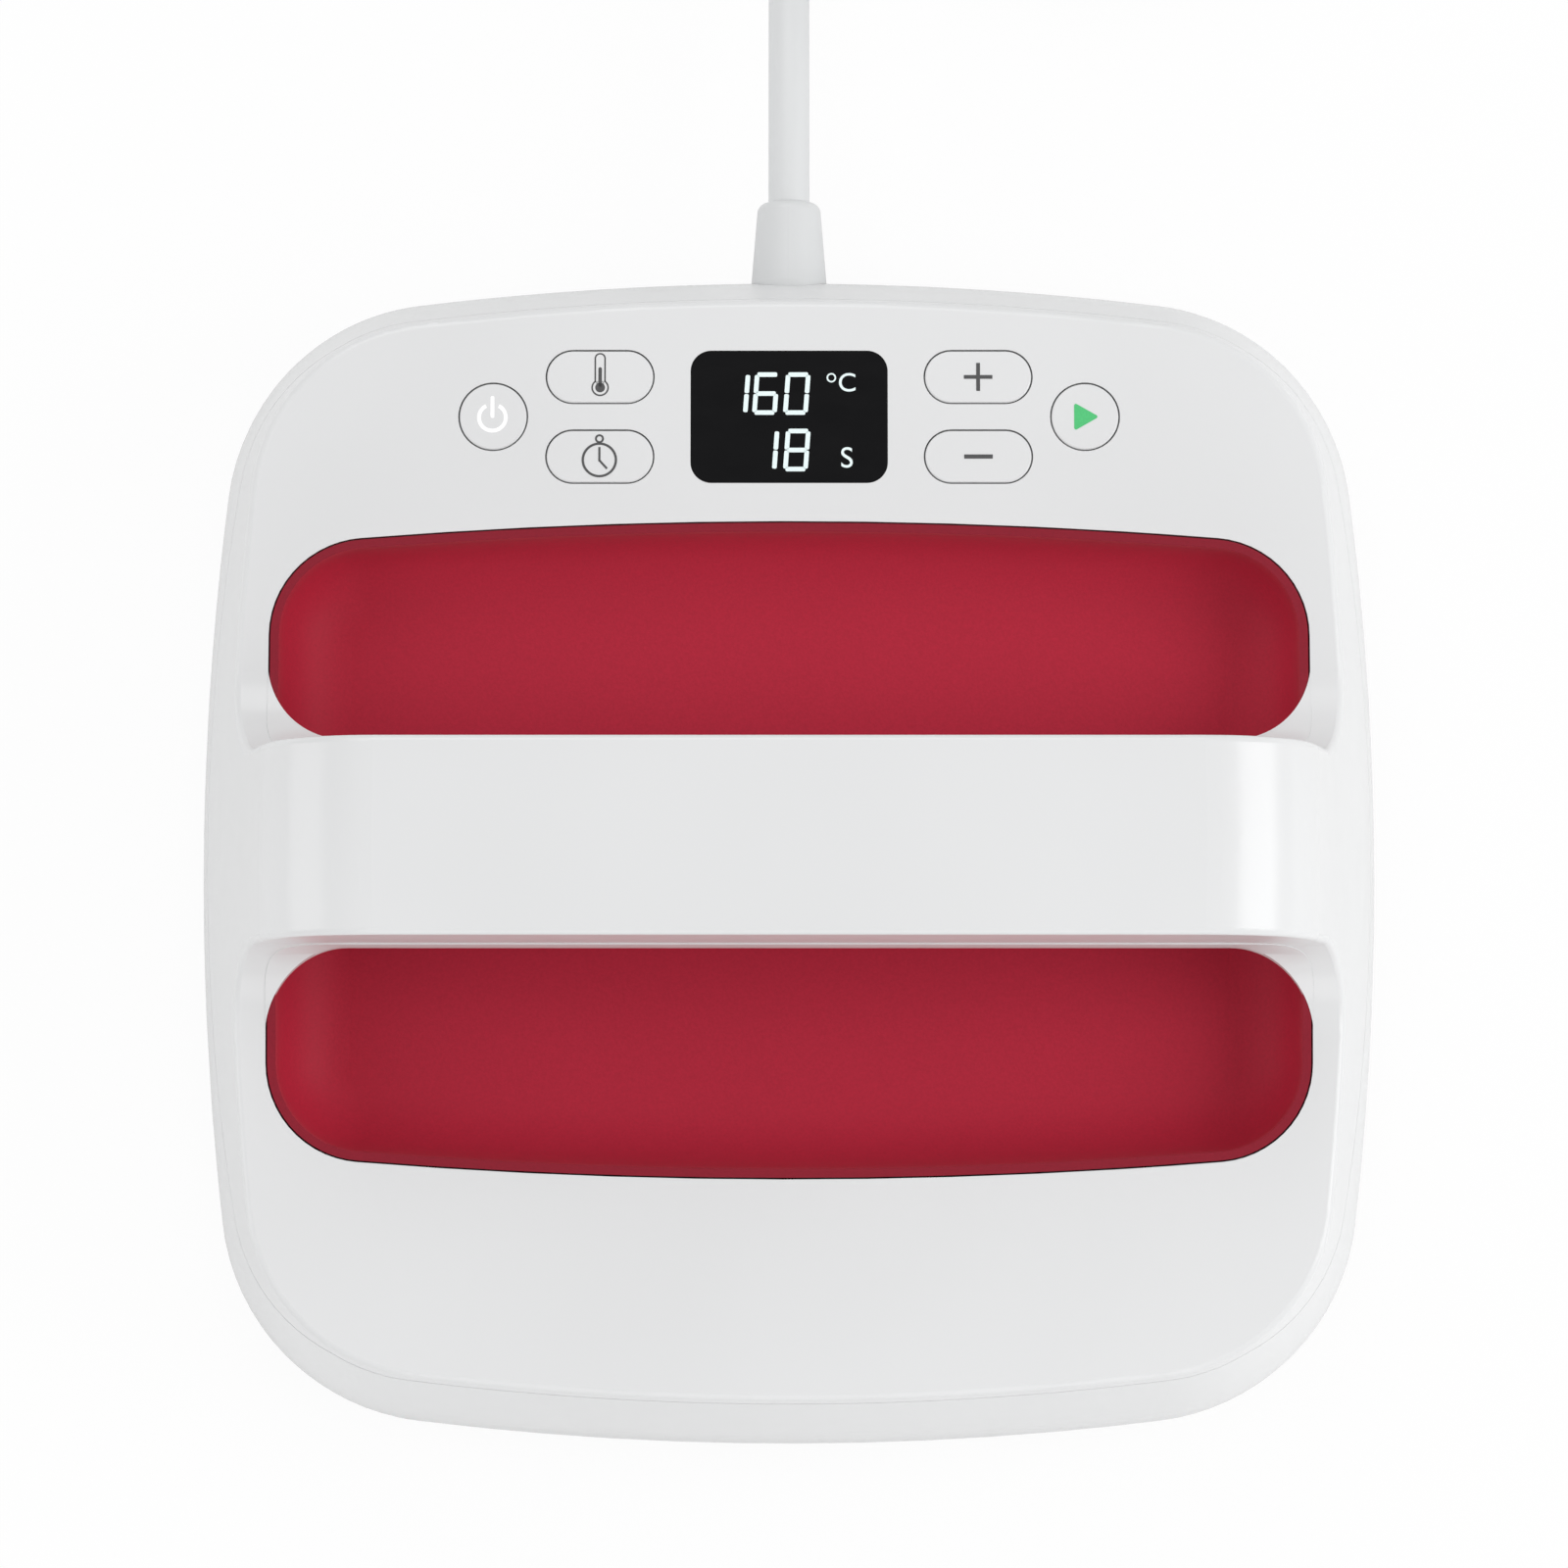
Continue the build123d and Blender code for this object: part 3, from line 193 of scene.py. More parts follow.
def plate_disc(name, radius, height, x=0.0, y=0.0, stretch=0.0, sides=48):
    """A thin disc, or a capsule whose upper half is moved up by stretch."""
    deselect_all()
    bpy.ops.mesh.primitive_circle_add(vertices=sides, radius=radius, fill_type="NGON")
    piece = named(name)
    bpy.ops.object.mode_set(mode="EDIT")
    if stretch > 0:
        select_where(piece, lambda p: p.y > -radius * 0.01, kind="VERT")
        bpy.ops.transform.translate(value=(0, stretch, 0))
    raise_flat(height)
    piece.location = (x, y, 0)
    bpy.ops.object.transform_apply(location=True, rotation=True, scale=True)
    return piece


def plate_ring(name, radius, stroke, height, x=0.0, y=0.0, gap=0.0, sides=64):
    """A thin ring, open at its top by the angle gap."""
    deselect_all()
    bpy.ops.mesh.primitive_circle_add(vertices=sides, radius=radius, fill_type="NGON")
    piece = named(name)
    bpy.ops.object.mode_set(mode="EDIT")
    bpy.ops.mesh.select_all(action="SELECT")
    bpy.ops.mesh.inset(thickness=stroke)
    select_where(piece, lambda p: p.length < radius - stroke * 1.5)
    bpy.ops.mesh.delete(type="FACE")
    if gap > 0:
        select_where(piece, lambda p: p.y > 0 and abs(math.atan2(p.x, p.y)) < gap / 2)
        bpy.ops.mesh.delete(type="FACE")
    raise_flat(height)
    piece.location = (x, y, 0)
    bpy.ops.object.transform_apply(location=True, rotation=True, scale=True)
    return piece


def joined(name, pieces):
    """Join plates that make one symbol."""
    deselect_all()
    for piece in pieces:
        piece.select_set(True)
    bpy.context.view_layer.objects.active = pieces[0]
    if len(pieces) > 1:
        bpy.ops.object.join()
    return named(name)


def on_panel(piece, x, y, sink=0.01):
    """Lay a piece that was modelled flat at the origin on the sloping panel."""
    deselect_all()
    piece.select_set(True)
    bpy.context.view_layer.objects.active = piece
    turn = Matrix.Rotation(-PANEL_SLOPE, 4, "X")
    place = PANEL_MIDDLE + turn.to_3x3() @ Vector((x, y, -sink)) * MM
    piece.rotation_euler = (-PANEL_SLOPE, 0, 0)
    piece.location = place
    bpy.ops.object.transform_apply(location=True, rotation=True, scale=True)


def lettering(name, words, size, height, x, y):
    """Plain letters as a thin mesh, centred on a place."""
    deselect_all()
    bpy.ops.object.text_add()
    piece = named(name)
    piece.data.body = words
    piece.data.size = size
    piece.data.extrude = height / 2
    piece.data.align_x = "CENTER"
    piece.data.align_y = "CENTER"
    bpy.ops.object.convert(target="MESH")
    piece = named(name)
    piece.location = (x, y, height / 2)
    bpy.ops.object.transform_apply(location=True, rotation=True, scale=True)
    return piece


class Tree:
    """A material's node tree, built node by node."""

    def __init__(self, name):
        self.material = bpy.data.materials.new(name)
        self.material.use_nodes = True
        self.nodes = self.material.node_tree.nodes
        self.links = self.material.node_tree.links
        self.shader = self.nodes["Principled BSDF"]
        self.place = self.nodes.new("ShaderNodeTexCoord").outputs["Object"]

    def set(self, **values):
        """Set the shader's own sockets by name, with underscores for spaces."""
        for key, value in values.items():
            self.shader.inputs[key.replace("_", " ")].default_value = value

    def noise(self, scale, detail=3.0, roughness=0.5, place=None, distortion=0.0):
        node = self.nodes.new("ShaderNodeTexNoise")
        node.inputs["Scale"].default_value = scale
        node.inputs["Detail"].default_value = detail
        node.inputs["Roughness"].default_value = roughness
        node.inputs["Distortion"].default_value = distortion
        self.links.new(place or self.place, node.inputs["Vector"])
        return node.outputs["Fac"]

    def cells(self, scale, place=None):
        node = self.nodes.new("ShaderNodeTexVoronoi")
        node.inputs["Scale"].default_value = scale
        self.links.new(place or self.place, node.inputs["Vector"])
        return node.outputs["Distance"]

    def waves(self, scale, place=None, direction="X", distortion=0.0):
        node = self.nodes.new("ShaderNodeTexWave")
        node.bands_direction = direction
        node.inputs["Scale"].default_value = scale
        node.inputs["Distortion"].default_value = distortion
        self.links.new(place or self.place, node.inputs["Vector"])
        return node.outputs["Fac"]

    def stretched(self, scale):
        """The place with each axis scaled, for brushed and ribbed surfaces."""
        node = self.nodes.new("ShaderNodeMapping")
        node.inputs["Scale"].default_value = scale
        self.links.new(self.place, node.inputs["Vector"])
        return node.outputs["Vector"]

    def ramp(self, factor, low, high):
        """Map a factor on to a range of plain numbers."""
        node = self.nodes.new("ShaderNodeMapRange")
        node.inputs["To Min"].default_value = low
        node.inputs["To Max"].default_value = high
        self.links.new(factor, node.inputs["Value"])
        return node.outputs["Result"]

    def colours(self, factor, stops):
        """Blend colours by a factor; stops are (place, colour) pairs."""
        node = self.nodes.new("ShaderNodeValToRGB")
        elements = node.color_ramp.elements
        for k, (where, colour) in enumerate(stops):
            element = elements[k] if k < 2 else elements.new(where)
            element.position = where
            element.color = (*colour, 1)
        self.links.new(factor, node.inputs["Fac"])
        return node.outputs["Color"]

    def upward_above(self, level):
        """One where a face looks up and lies above a level, such as the lining's cut top edge that gets
        painted shade; else zero.
        """
        parts = self.nodes.new("ShaderNodeSeparateXYZ")
        self.links.new(self.place, parts.inputs["Vector"])
        facing = self.nodes.new("ShaderNodeSeparateXYZ")
        face = self.nodes.new("ShaderNodeNewGeometry")
        self.links.new(face.outputs["True Normal"], facing.inputs["Vector"])
        tests = []
        for value, limit in ((parts.outputs["Z"], level), (facing.outputs["Z"], 0.85)):
            test = self.nodes.new("ShaderNodeMath")
            test.operation = "GREATER_THAN"
            test.inputs[1].default_value = limit
            self.links.new(value, test.inputs[0])
            tests.append(test.outputs[0])
        both = self.nodes.new("ShaderNodeMath")
        both.operation = "MULTIPLY"
        self.links.new(tests[0], both.inputs[0])
        self.links.new(tests[1], both.inputs[1])
        return both.outputs[0]

    def bump(self, height, strength, distance, before=None):
        node = self.nodes.new("ShaderNodeBump")
        node.inputs["Strength"].default_value = strength
        node.inputs["Distance"].default_value = distance
        self.links.new(height, node.inputs["Height"])
        if before is not None:
            self.links.new(before, node.inputs["Normal"])
        return node.outputs["Normal"]

    def feed(self, output, socket):
        self.links.new(output, self.shader.inputs[socket])


def shade(colour, factor):
    """A colour made lighter or darker."""
    return tuple(min(1.0, c * factor) for c in colour)


def moulded_plastic(name, colour, roughness, grain=1800.0, depth=0.00001, spread=0.015, sheen=0.0):
    """Injection-moulded plastic: a fine grain, a slow waviness and a little uneven gloss."""
    tree = Tree(name)
    tree.set(IOR=1.49, Sheen_Weight=sheen, Sheen_Roughness=0.4)
    slow = tree.noise(9.0, detail=2.0)
    fine = tree.noise(grain, detail=2.0)
    stops = [(0.35, shade(colour, 1 - spread)), (0.65, shade(colour, 1 + spread))]
    tree.feed(tree.colours(slow, stops), "Base Color")
    tree.feed(tree.ramp(tree.noise(60.0), roughness - 0.04, roughness + 0.04), "Roughness")
    tree.feed(tree.bump(fine, 0.35, depth), "Normal")
    return tree.material


def soft_liner(name, colour):
    """Soft-touch red lining: a close matt grain with paler specks, a soft sheen and painted shade on its
    upward-facing cut top edge.
    """
    tree = Tree(name)
    tree.set(IOR=1.45, Specular_IOR_Level=0.24, Sheen_Weight=0.04, Sheen_Roughness=0.5)
    grain = tree.noise(1500.0, detail=3.0, roughness=0.6)
    slow = tree.noise(14.0, detail=2.0)
    base = tree.colours(grain, [(0.30, shade(colour, 0.93)), (0.70, shade(colour, 1.07))])
    tint = tree.nodes.new("ShaderNodeMix")
    tint.data_type = "RGBA"
    tint.blend_type = "MULTIPLY"
    tint.inputs["Factor"].default_value = 0.6
    tree.links.new(base, tint.inputs["A"])
    clouds = tree.colours(slow, [(0.3, (0.95, 0.94, 0.94)), (0.7, (1.0, 1.0, 1.0))])
    tree.links.new(clouds, tint.inputs["B"])
    # Painted shade: the lining's upward-facing cut top edge above 55 mm is darkened to about half, to match
    # the shaded walls beside it.
    painted_rim_shade = tree.nodes.new("ShaderNodeMix")
    painted_rim_shade.data_type = "RGBA"
    painted_rim_shade.blend_type = "MULTIPLY"
    painted_rim_shade.inputs["B"].default_value = (0.52, 0.52, 0.52, 1)
    tree.links.new(tree.upward_above(0.055), painted_rim_shade.inputs["Factor"])
    tree.links.new(tint.outputs["Result"], painted_rim_shade.inputs["A"])
    tree.feed(painted_rim_shade.outputs["Result"], "Base Color")
    tree.feed(tree.ramp(grain, 0.50, 0.64), "Roughness")
    pits = tree.bump(tree.cells(2600.0), 0.35, 0.00003)
    tree.feed(tree.bump(grain, 0.45, 0.00004, before=pits), "Normal")
    return tree.material


def brushed_metal(name, colour, roughness, direction=(40.0, 2200.0, 2200.0)):
    """Sheet or drawn metal with fine brush lines along X."""
    tree = Tree(name)
    tree.set(Metallic=1.0)
    lines = tree.noise(1.0, detail=3.0, place=tree.stretched(direction))
    tree.feed(tree.colours(lines, [(0.3, shade(colour, 0.86)), (0.7, shade(colour, 1.08))]), "Base Color")
    tree.feed(tree.ramp(lines, roughness - 0.07, roughness + 0.07), "Roughness")
    tree.feed(tree.bump(lines, 0.2, 0.00002), "Normal")
    return tree.material


def coated_plate(name):
    """Dark non-stick coat of the heat plate: fine flecks, faint rub marks and an orange-peel skin."""
    tree = Tree(name)
    tree.set(IOR=1.45)
    flecks = tree.cells(700.0)
    rubs = tree.noise(1.0, detail=4.0, place=tree.stretched((18.0, 160.0, 30.0)))
    stops = [(0.05, (0.13, 0.13, 0.135)), (0.16, (0.036, 0.036, 0.038)), (0.9, (0.030, 0.030, 0.032))]
    tree.feed(tree.colours(flecks, stops), "Base Color")
    tree.feed(tree.ramp(rubs, 0.30, 0.52), "Roughness")
    tree.feed(tree.bump(tree.noise(420.0), 0.25, 0.00005), "Normal")
    return tree.material


def fibre_pad(name):
    """Needled glass wool: tangled fibres and soft lumps."""
    tree = Tree(name)
    tree.set(Roughness=0.95, Sheen_Weight=0.3)
    fibres = tree.noise(420.0, detail=6.0, roughness=0.75, distortion=2.5)
    lumps = tree.noise(45.0, detail=3.0)
    tree.feed(tree.colours(fibres, [(0.3, (0.56, 0.54, 0.47)), (0.7, (0.80, 0.78, 0.70))]), "Base Color")
    tree.feed(tree.bump(fibres, 0.8, 0.0004, before=tree.bump(lumps, 0.5, 0.001)), "Normal")
    return tree.material


def circuit_board(name):
    """Green solder mask with buried tracks."""
    tree = Tree(name)
    tree.set(Roughness=0.32, IOR=1.5)
    tracks = tree.waves(160.0, distortion=6.0)
    mask = (0.010, 0.085, 0.035)
    tree.feed(tree.colours(tracks, [(0.44, mask), (0.50, (0.022, 0.150, 0.060)), (0.56, mask)]), "Base Color")
    tree.feed(tree.bump(tracks, 0.3, 0.00005), "Normal")
    return tree.material


def black_lens(name):
    """Hard-coated black display lens: deep gloss with barely visible smears."""
    tree = Tree(name)
    tree.set(IOR=1.49, Specular_IOR_Level=0.10)
    smear = tree.noise(1.0, detail=3.0, place=tree.stretched((90.0, 240.0, 90.0)))
    stops = [(0.3, (0.0052, 0.0052, 0.0058)), (0.7, (0.0066, 0.0066, 0.0072))]
    tree.feed(tree.colours(smear, stops), "Base Color")
    tree.feed(tree.ramp(smear, 0.05, 0.11), "Roughness")
    return tree.material


def lit_print(name, colour, glow, grain=2400.0):
    """A printed or lit symbol: an even ink with a faint grain, and a glow, which stands for a lamp where the
    symbol is lit and is a painted glow where it is not.
    """
    tree = Tree(name)
    tree.set(Roughness=0.5, Emission_Color=(*colour, 1), Emission_Strength=glow)
    ink = tree.noise(grain, detail=1.0)
    tree.feed(tree.colours(ink, [(0.3, shade(colour, 0.95)), (0.7, shade(colour, 1.05))]), "Base Color")
    return tree.material


def woven_tape(name, colour):
    """Hook tape: a dense weave in two directions."""
    tree = Tree(name)
    tree.set(Roughness=0.85, Sheen_Weight=0.4)
    across = tree.waves(420.0, direction="X")
    along = tree.waves(420.0, direction="Y")
    tree.feed(tree.colours(across, [(0.2, shade(colour, 0.6)), (0.8, shade(colour, 1.4))]), "Base Color")
    tree.feed(tree.bump(along, 0.6, 0.0002, before=tree.bump(across, 0.6, 0.0002)), "Normal")
    return tree.material


def finish_node(node, material):
    """Give a CAD node its finish."""
    piece = frame["nodes"][node]
    if piece.material_slots:
        for slot in piece.material_slots:
            slot.material = material
    else:
        piece.data.materials.append(material)


def finish_piece(piece, material, body):
    """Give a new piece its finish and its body."""
    piece.data.materials.clear()
    piece.data.materials.append(material)
    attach(piece, body)


def print_mark(mark, key, ink):
    """Lay a mark on its key and let it move with the key."""
    on_panel(mark, *MARK_PLACES[key])
    finish_piece(mark, ink, key + "_key")


class HEATPRESS_OT_finishes(bpy.types.Operator):
    """Give every CAD node a finish of its own kind"""

    bl_idname = "heatpress.finishes"
    bl_label = "Finish the mouldings and the inner pieces"

    def execute(self, context):
        colours = context.scene.heat_press_colours
        white = tuple(colours.housing_white)
        sleeve = shade(colours.cord_white, 0.97)
        plug = shade(colours.cord_white, 0.98)
        fine_lines = 2200.0
        finishes = {
            "white_housing": moulded_plastic("gloss white moulding", white, 0.24),
            "red_liner": soft_liner("soft red lining", tuple(colours.liner_red)),
            "plate_metal": coated_plate("non-stick plate coat"),
            "element_steel": brushed_metal(
                "element tube steel", (0.30, 0.29, 0.28), 0.42, (900.0, 900.0, 900.0)
            ),
            "insulation_wool": fibre_pad("needled glass wool"),
            "shield_steel": brushed_metal("zinc sheet", (0.60, 0.61, 0.62), 0.34),
            "ceramic": moulded_plastic(
                "steatite ceramic", (0.74, 0.71, 0.62), 0.55, grain=900.0, depth=0.00004
            ),
            "screw_steel": brushed_metal(
                "zinc screws", (0.62, 0.62, 0.60), 0.28, (1500.0, 1500.0, 300.0)
            ),
            "display_glass": black_lens("black display lens"),
            "lcd_black": moulded_plastic("display cell", (0.02, 0.02, 0.024), 0.2),
            "board_green": circuit_board("solder mask"),
            "chip_black": moulded_plastic(
                "moulded component black", (0.022, 0.022, 0.024), 0.6, grain=1200.0, depth=0.00003
            ),
            "relay_blue": moulded_plastic("relay case", (0.02, 0.10, 0.30), 0.35),
            "transformer_yellow": moulded_plastic(
                "transformer tape", (0.62, 0.46, 0.06), 0.45, grain=500.0
            ),
            "capacitor_blue": moulded_plastic("capacitor sleeve", (0.01, 0.02, 0.11), 0.25),
            "sink_aluminium": brushed_metal(
                "extruded aluminium", (0.72, 0.73, 0.75), 0.30, (fine_lines, fine_lines, 40.0)
            ),
            "brass_fittings": brushed_metal(
                "nickel plated brass", (0.70, 0.66, 0.56), 0.20, (60.0, fine_lines, fine_lines)
            ),
            "relief_grey": moulded_plastic("soft sleeve", sleeve, 0.42, grain=1400.0, depth=0.00002),
            "cord_grey": moulded_plastic(
                "cord sheath", tuple(colours.cord_white), 0.45, grain=1100.0, depth=0.00003
            ),
            "clamp_white": moulded_plastic("clamp bar", (0.66, 0.66, 0.64), 0.5),
            "lead_brown": moulded_plastic("brown lead", (0.10, 0.035, 0.015), 0.4),
            "lead_white": woven_tape("glass sleeve lead", (0.72, 0.70, 0.64)),
            "lead_green": moulded_plastic("earth lead", (0.06, 0.28, 0.04), 0.4),
            "ribbon_grey": moulded_plastic("ribbon", (0.34, 0.35, 0.36), 0.5, grain=700.0),
            "tie_black": woven_tape("hook tape", (0.022, 0.022, 0.024)),
            "plug_grey": moulded_plastic("plug moulding", plug, 0.40, grain=1000.0, depth=0.00004),
            "button_black": moulded_plastic("key caps", white, 0.30, grain=2200.0),
        }
        for subpart in frame["record"]["subparts"]:
            finish_node(subpart["node"], finishes[subpart["material_slot"]])
        return {"FINISHED"}


def carve(piece, tool, operation):
    """Cut a piece with a tool, or keep what they share, and drop the tool."""
    deselect_all()
    piece.select_set(True)
    bpy.context.view_layer.objects.active = piece
    cut = piece.modifiers.new("carve", "BOOLEAN")
    cut.operation = operation
    cut.solver = "EXACT"
    cut.object = tool
    bpy.ops.object.modifier_apply(modifier=cut.name)
    bpy.data.objects.remove(tool)


def block(name, low, high, radius, axis, keep):
    """A block between two corners in millimetres, with some edges rounded."""
    deselect_all()
    bpy.ops.mesh.primitive_cube_add(size=1)
    piece = named(name)
    piece.scale = [(b - a) * MM for a, b in zip(low, high)]
    piece.location = [(a + b) / 2 * MM for a, b in zip(low, high)]
    bpy.ops.object.transform_apply(location=True, rotation=True, scale=True)
    mesh = piece.data
    bpy.ops.object.mode_set(mode="EDIT")
    bpy.ops.mesh.select_all(action="DESELECT")
    bpy.ops.mesh.select_mode(type="EDGE")
    bpy.ops.object.mode_set(mode="OBJECT")
    for edge in mesh.edges:
        ends = [mesh.vertices[k].co for k in edge.vertices]
        along = (ends[1] - ends[0]).normalized()
        edge.select = abs(along[axis]) > 0.9 and keep((ends[0] + ends[1]) / 2)
    bpy.ops.object.mode_set(mode="EDIT")
    bpy.ops.mesh.bevel(offset=radius, segments=24, affect="EDGES")
    bpy.ops.object.mode_set(mode="OBJECT")
    return piece


def drum(name, radius, length, y, z):
    """A cylinder along X, in millimetres."""
    deselect_all()
    bpy.ops.mesh.primitive_cylinder_add(vertices=256, radius=radius * MM, depth=length * MM)
    piece = named(name)
    piece.rotation_euler = (0, math.pi / 2, 0)
    piece.location = (0, y * MM, z * MM)
    bpy.ops.object.transform_apply(location=True, rotation=True, scale=True)
    return piece


class HEATPRESS_OT_corner_webs(bpy.types.Operator):
    """Carry the shell's sweep round the hollow's corners beside the handle"""

    bl_idname = "heatpress.corner_webs"
    bl_label = "Round the hollow's corners"

    def execute(self, context):
        corner_radius = context.scene.heat_press_sizes.web_radius
        # The shell sweeps up to the handle with this radius about a line at this level, and the web
        # is a thin wall that carries on the sweep between an inner and an outer radius
        sweep_radius = 21.0
        sweep_z = 85.93
        inner_radius = 20.86
        outer_radius = 23.4
        # Half its length, which ends just inside the hollow's side walls, and half the hollow's own width
        reach = 121.28
        hollow_reach = 121.5
        # Its lowest and highest levels, and how far it is sunk into the handle's face
        foot_z = 50.0
        top_z = 88.0
        sunk = 0.4
        middle_z = (foot_z + top_z) / 2
        # Each web's side of the handle, the handle's face there, and where the open hollow starts
        for name, side, face, near in (("rear_web", 1, 20.5, 23.4), ("front_web", -1, -24.5, -24.75)):
            sweep_y = face + side * sweep_radius
            web = drum(name, outer_radius, 2 * reach, sweep_y, sweep_z)
            carve(web, drum("sweep_space", inner_radius, 2 * reach + 20, sweep_y, sweep_z), "DIFFERENCE")
            low_y, high_y = sorted((face - side * sunk, sweep_y))
            low = (-reach, low_y, foot_z)
            high = (reach, high_y, top_z)
            bar = block("bar", low, high, sweep_radius * MM, 1, lambda p: p.z > middle_z * MM)
            carve(web, bar, "INTERSECT")
            # The pocket runs well past the web on its open side, below and above
            low_y, high_y = sorted((near, near + side * 60))
            low = (-hollow_reach, low_y, 30.0)
            high = (hollow_reach, high_y, 120.0)
            carve(web, block("pocket", low, high, corner_radius, 2, lambda p: True), "DIFFERENCE")
            deselect_all()
            web.select_set(True)
            context.view_layer.objects.active = web
            bpy.ops.object.shade_smooth_by_angle(angle=math.radians(30))
            finish_piece(web, bpy.data.materials["gloss white moulding"], HOUSING)
        return {"FINISHED"}


class HEATPRESS_OT_mains_cord(bpy.types.Operator):
    """Lay the mains cord: out of the sleeve, down to the worktop, into a tied coil and on to the plug"""

    bl_idname = "heatpress.mains_cord"
    bl_label = "Lay the mains cord"

    def execute(self, context):
        sizes = context.scene.heat_press_sizes
        # Levels of the coil's two layers, where it starts along Y, its outer radius and its turns' pitch
        low = 5.7
        high = 16.0
        start = 292.0
        radius = 67.0
        pitch = 10.4
        route = [(0, 156.6, 33), (0, 186, 33), (0, 222, 19.5)]
        route += [(0, 255, low), (0, 282.2, low), (0, start, low)]
        # Where the half turns end on the coil's middle line: inwards below, one that climbs, outwards above
        turns = [-radius, radius, -radius + pitch, radius - pitch, -radius + 2 * pitch, radius - 2 * pitch]
        inner = -radius + 3 * pitch
        turns += [inner, radius - pitch, -radius + 2 * pitch, radius, -radius + pitch, radius + 3 * pitch]
        climbing_turn = 5
        steps = 12
        # A curve of this order runs inside its points, so they are moved out by this factor
        swell = 2 / (1 + math.cos(math.pi / (2 * steps)) ** 2)
        half_turns = len(turns) - 1
        for k in range(half_turns):
            middle = (turns[k] + turns[k + 1]) / 2
            reach = abs(turns[k + 1] - turns[k]) / 2
            upward = 1 if k % 2 == 0 else -1
            heading = 1 if turns[k + 1] > turns[k] else -1
            climbing = k == climbing_turn
            for step in range(steps):
                angle = math.pi * (step + 0.5) / steps
                if k == half_turns - 1 and angle > math.pi / 2:
                    break
                if climbing:
                    level = low + (high - low) * (step + 0.5) / steps
                else:
                    level = low if k < climbing_turn else high
                x = radius + middle - heading * reach * swell * math.cos(angle)
                y = start + upward * reach * swell * math.sin(angle)
                route.append((x, y, level))
        top = start + radius
        route += [(87.2, top, high), (107.2, top, high), (129.2, top, 18.5), (149.2, top, 18.5)]
        curve = bpy.data.curves.new("mains_cord", "CURVE")
        curve.dimensions = "3D"
        curve.bevel_depth = sizes.cord_diameter / 2
        curve.bevel_resolution = 8
        curve.resolution_u = 6
        curve.use_fill_caps = True
        spline = curve.splines.new("NURBS")
        spline.points.add(len(route) - 1)
        for point, (x, y, z) in zip(spline.points, route):
            point.co = (x * MM, y * MM, z * MM, 1)
        spline.order_u = 3
        spline.use_endpoint_u = True
        cord = bpy.data.objects.new("mains_cord", curve)
        context.scene.collection.objects.link(cord)
        finish_piece(cord, bpy.data.materials["cord sheath"], HOUSING)
        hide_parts("power_cord", "cord_coil", "plug_lead")
        return {"FINISHED"}


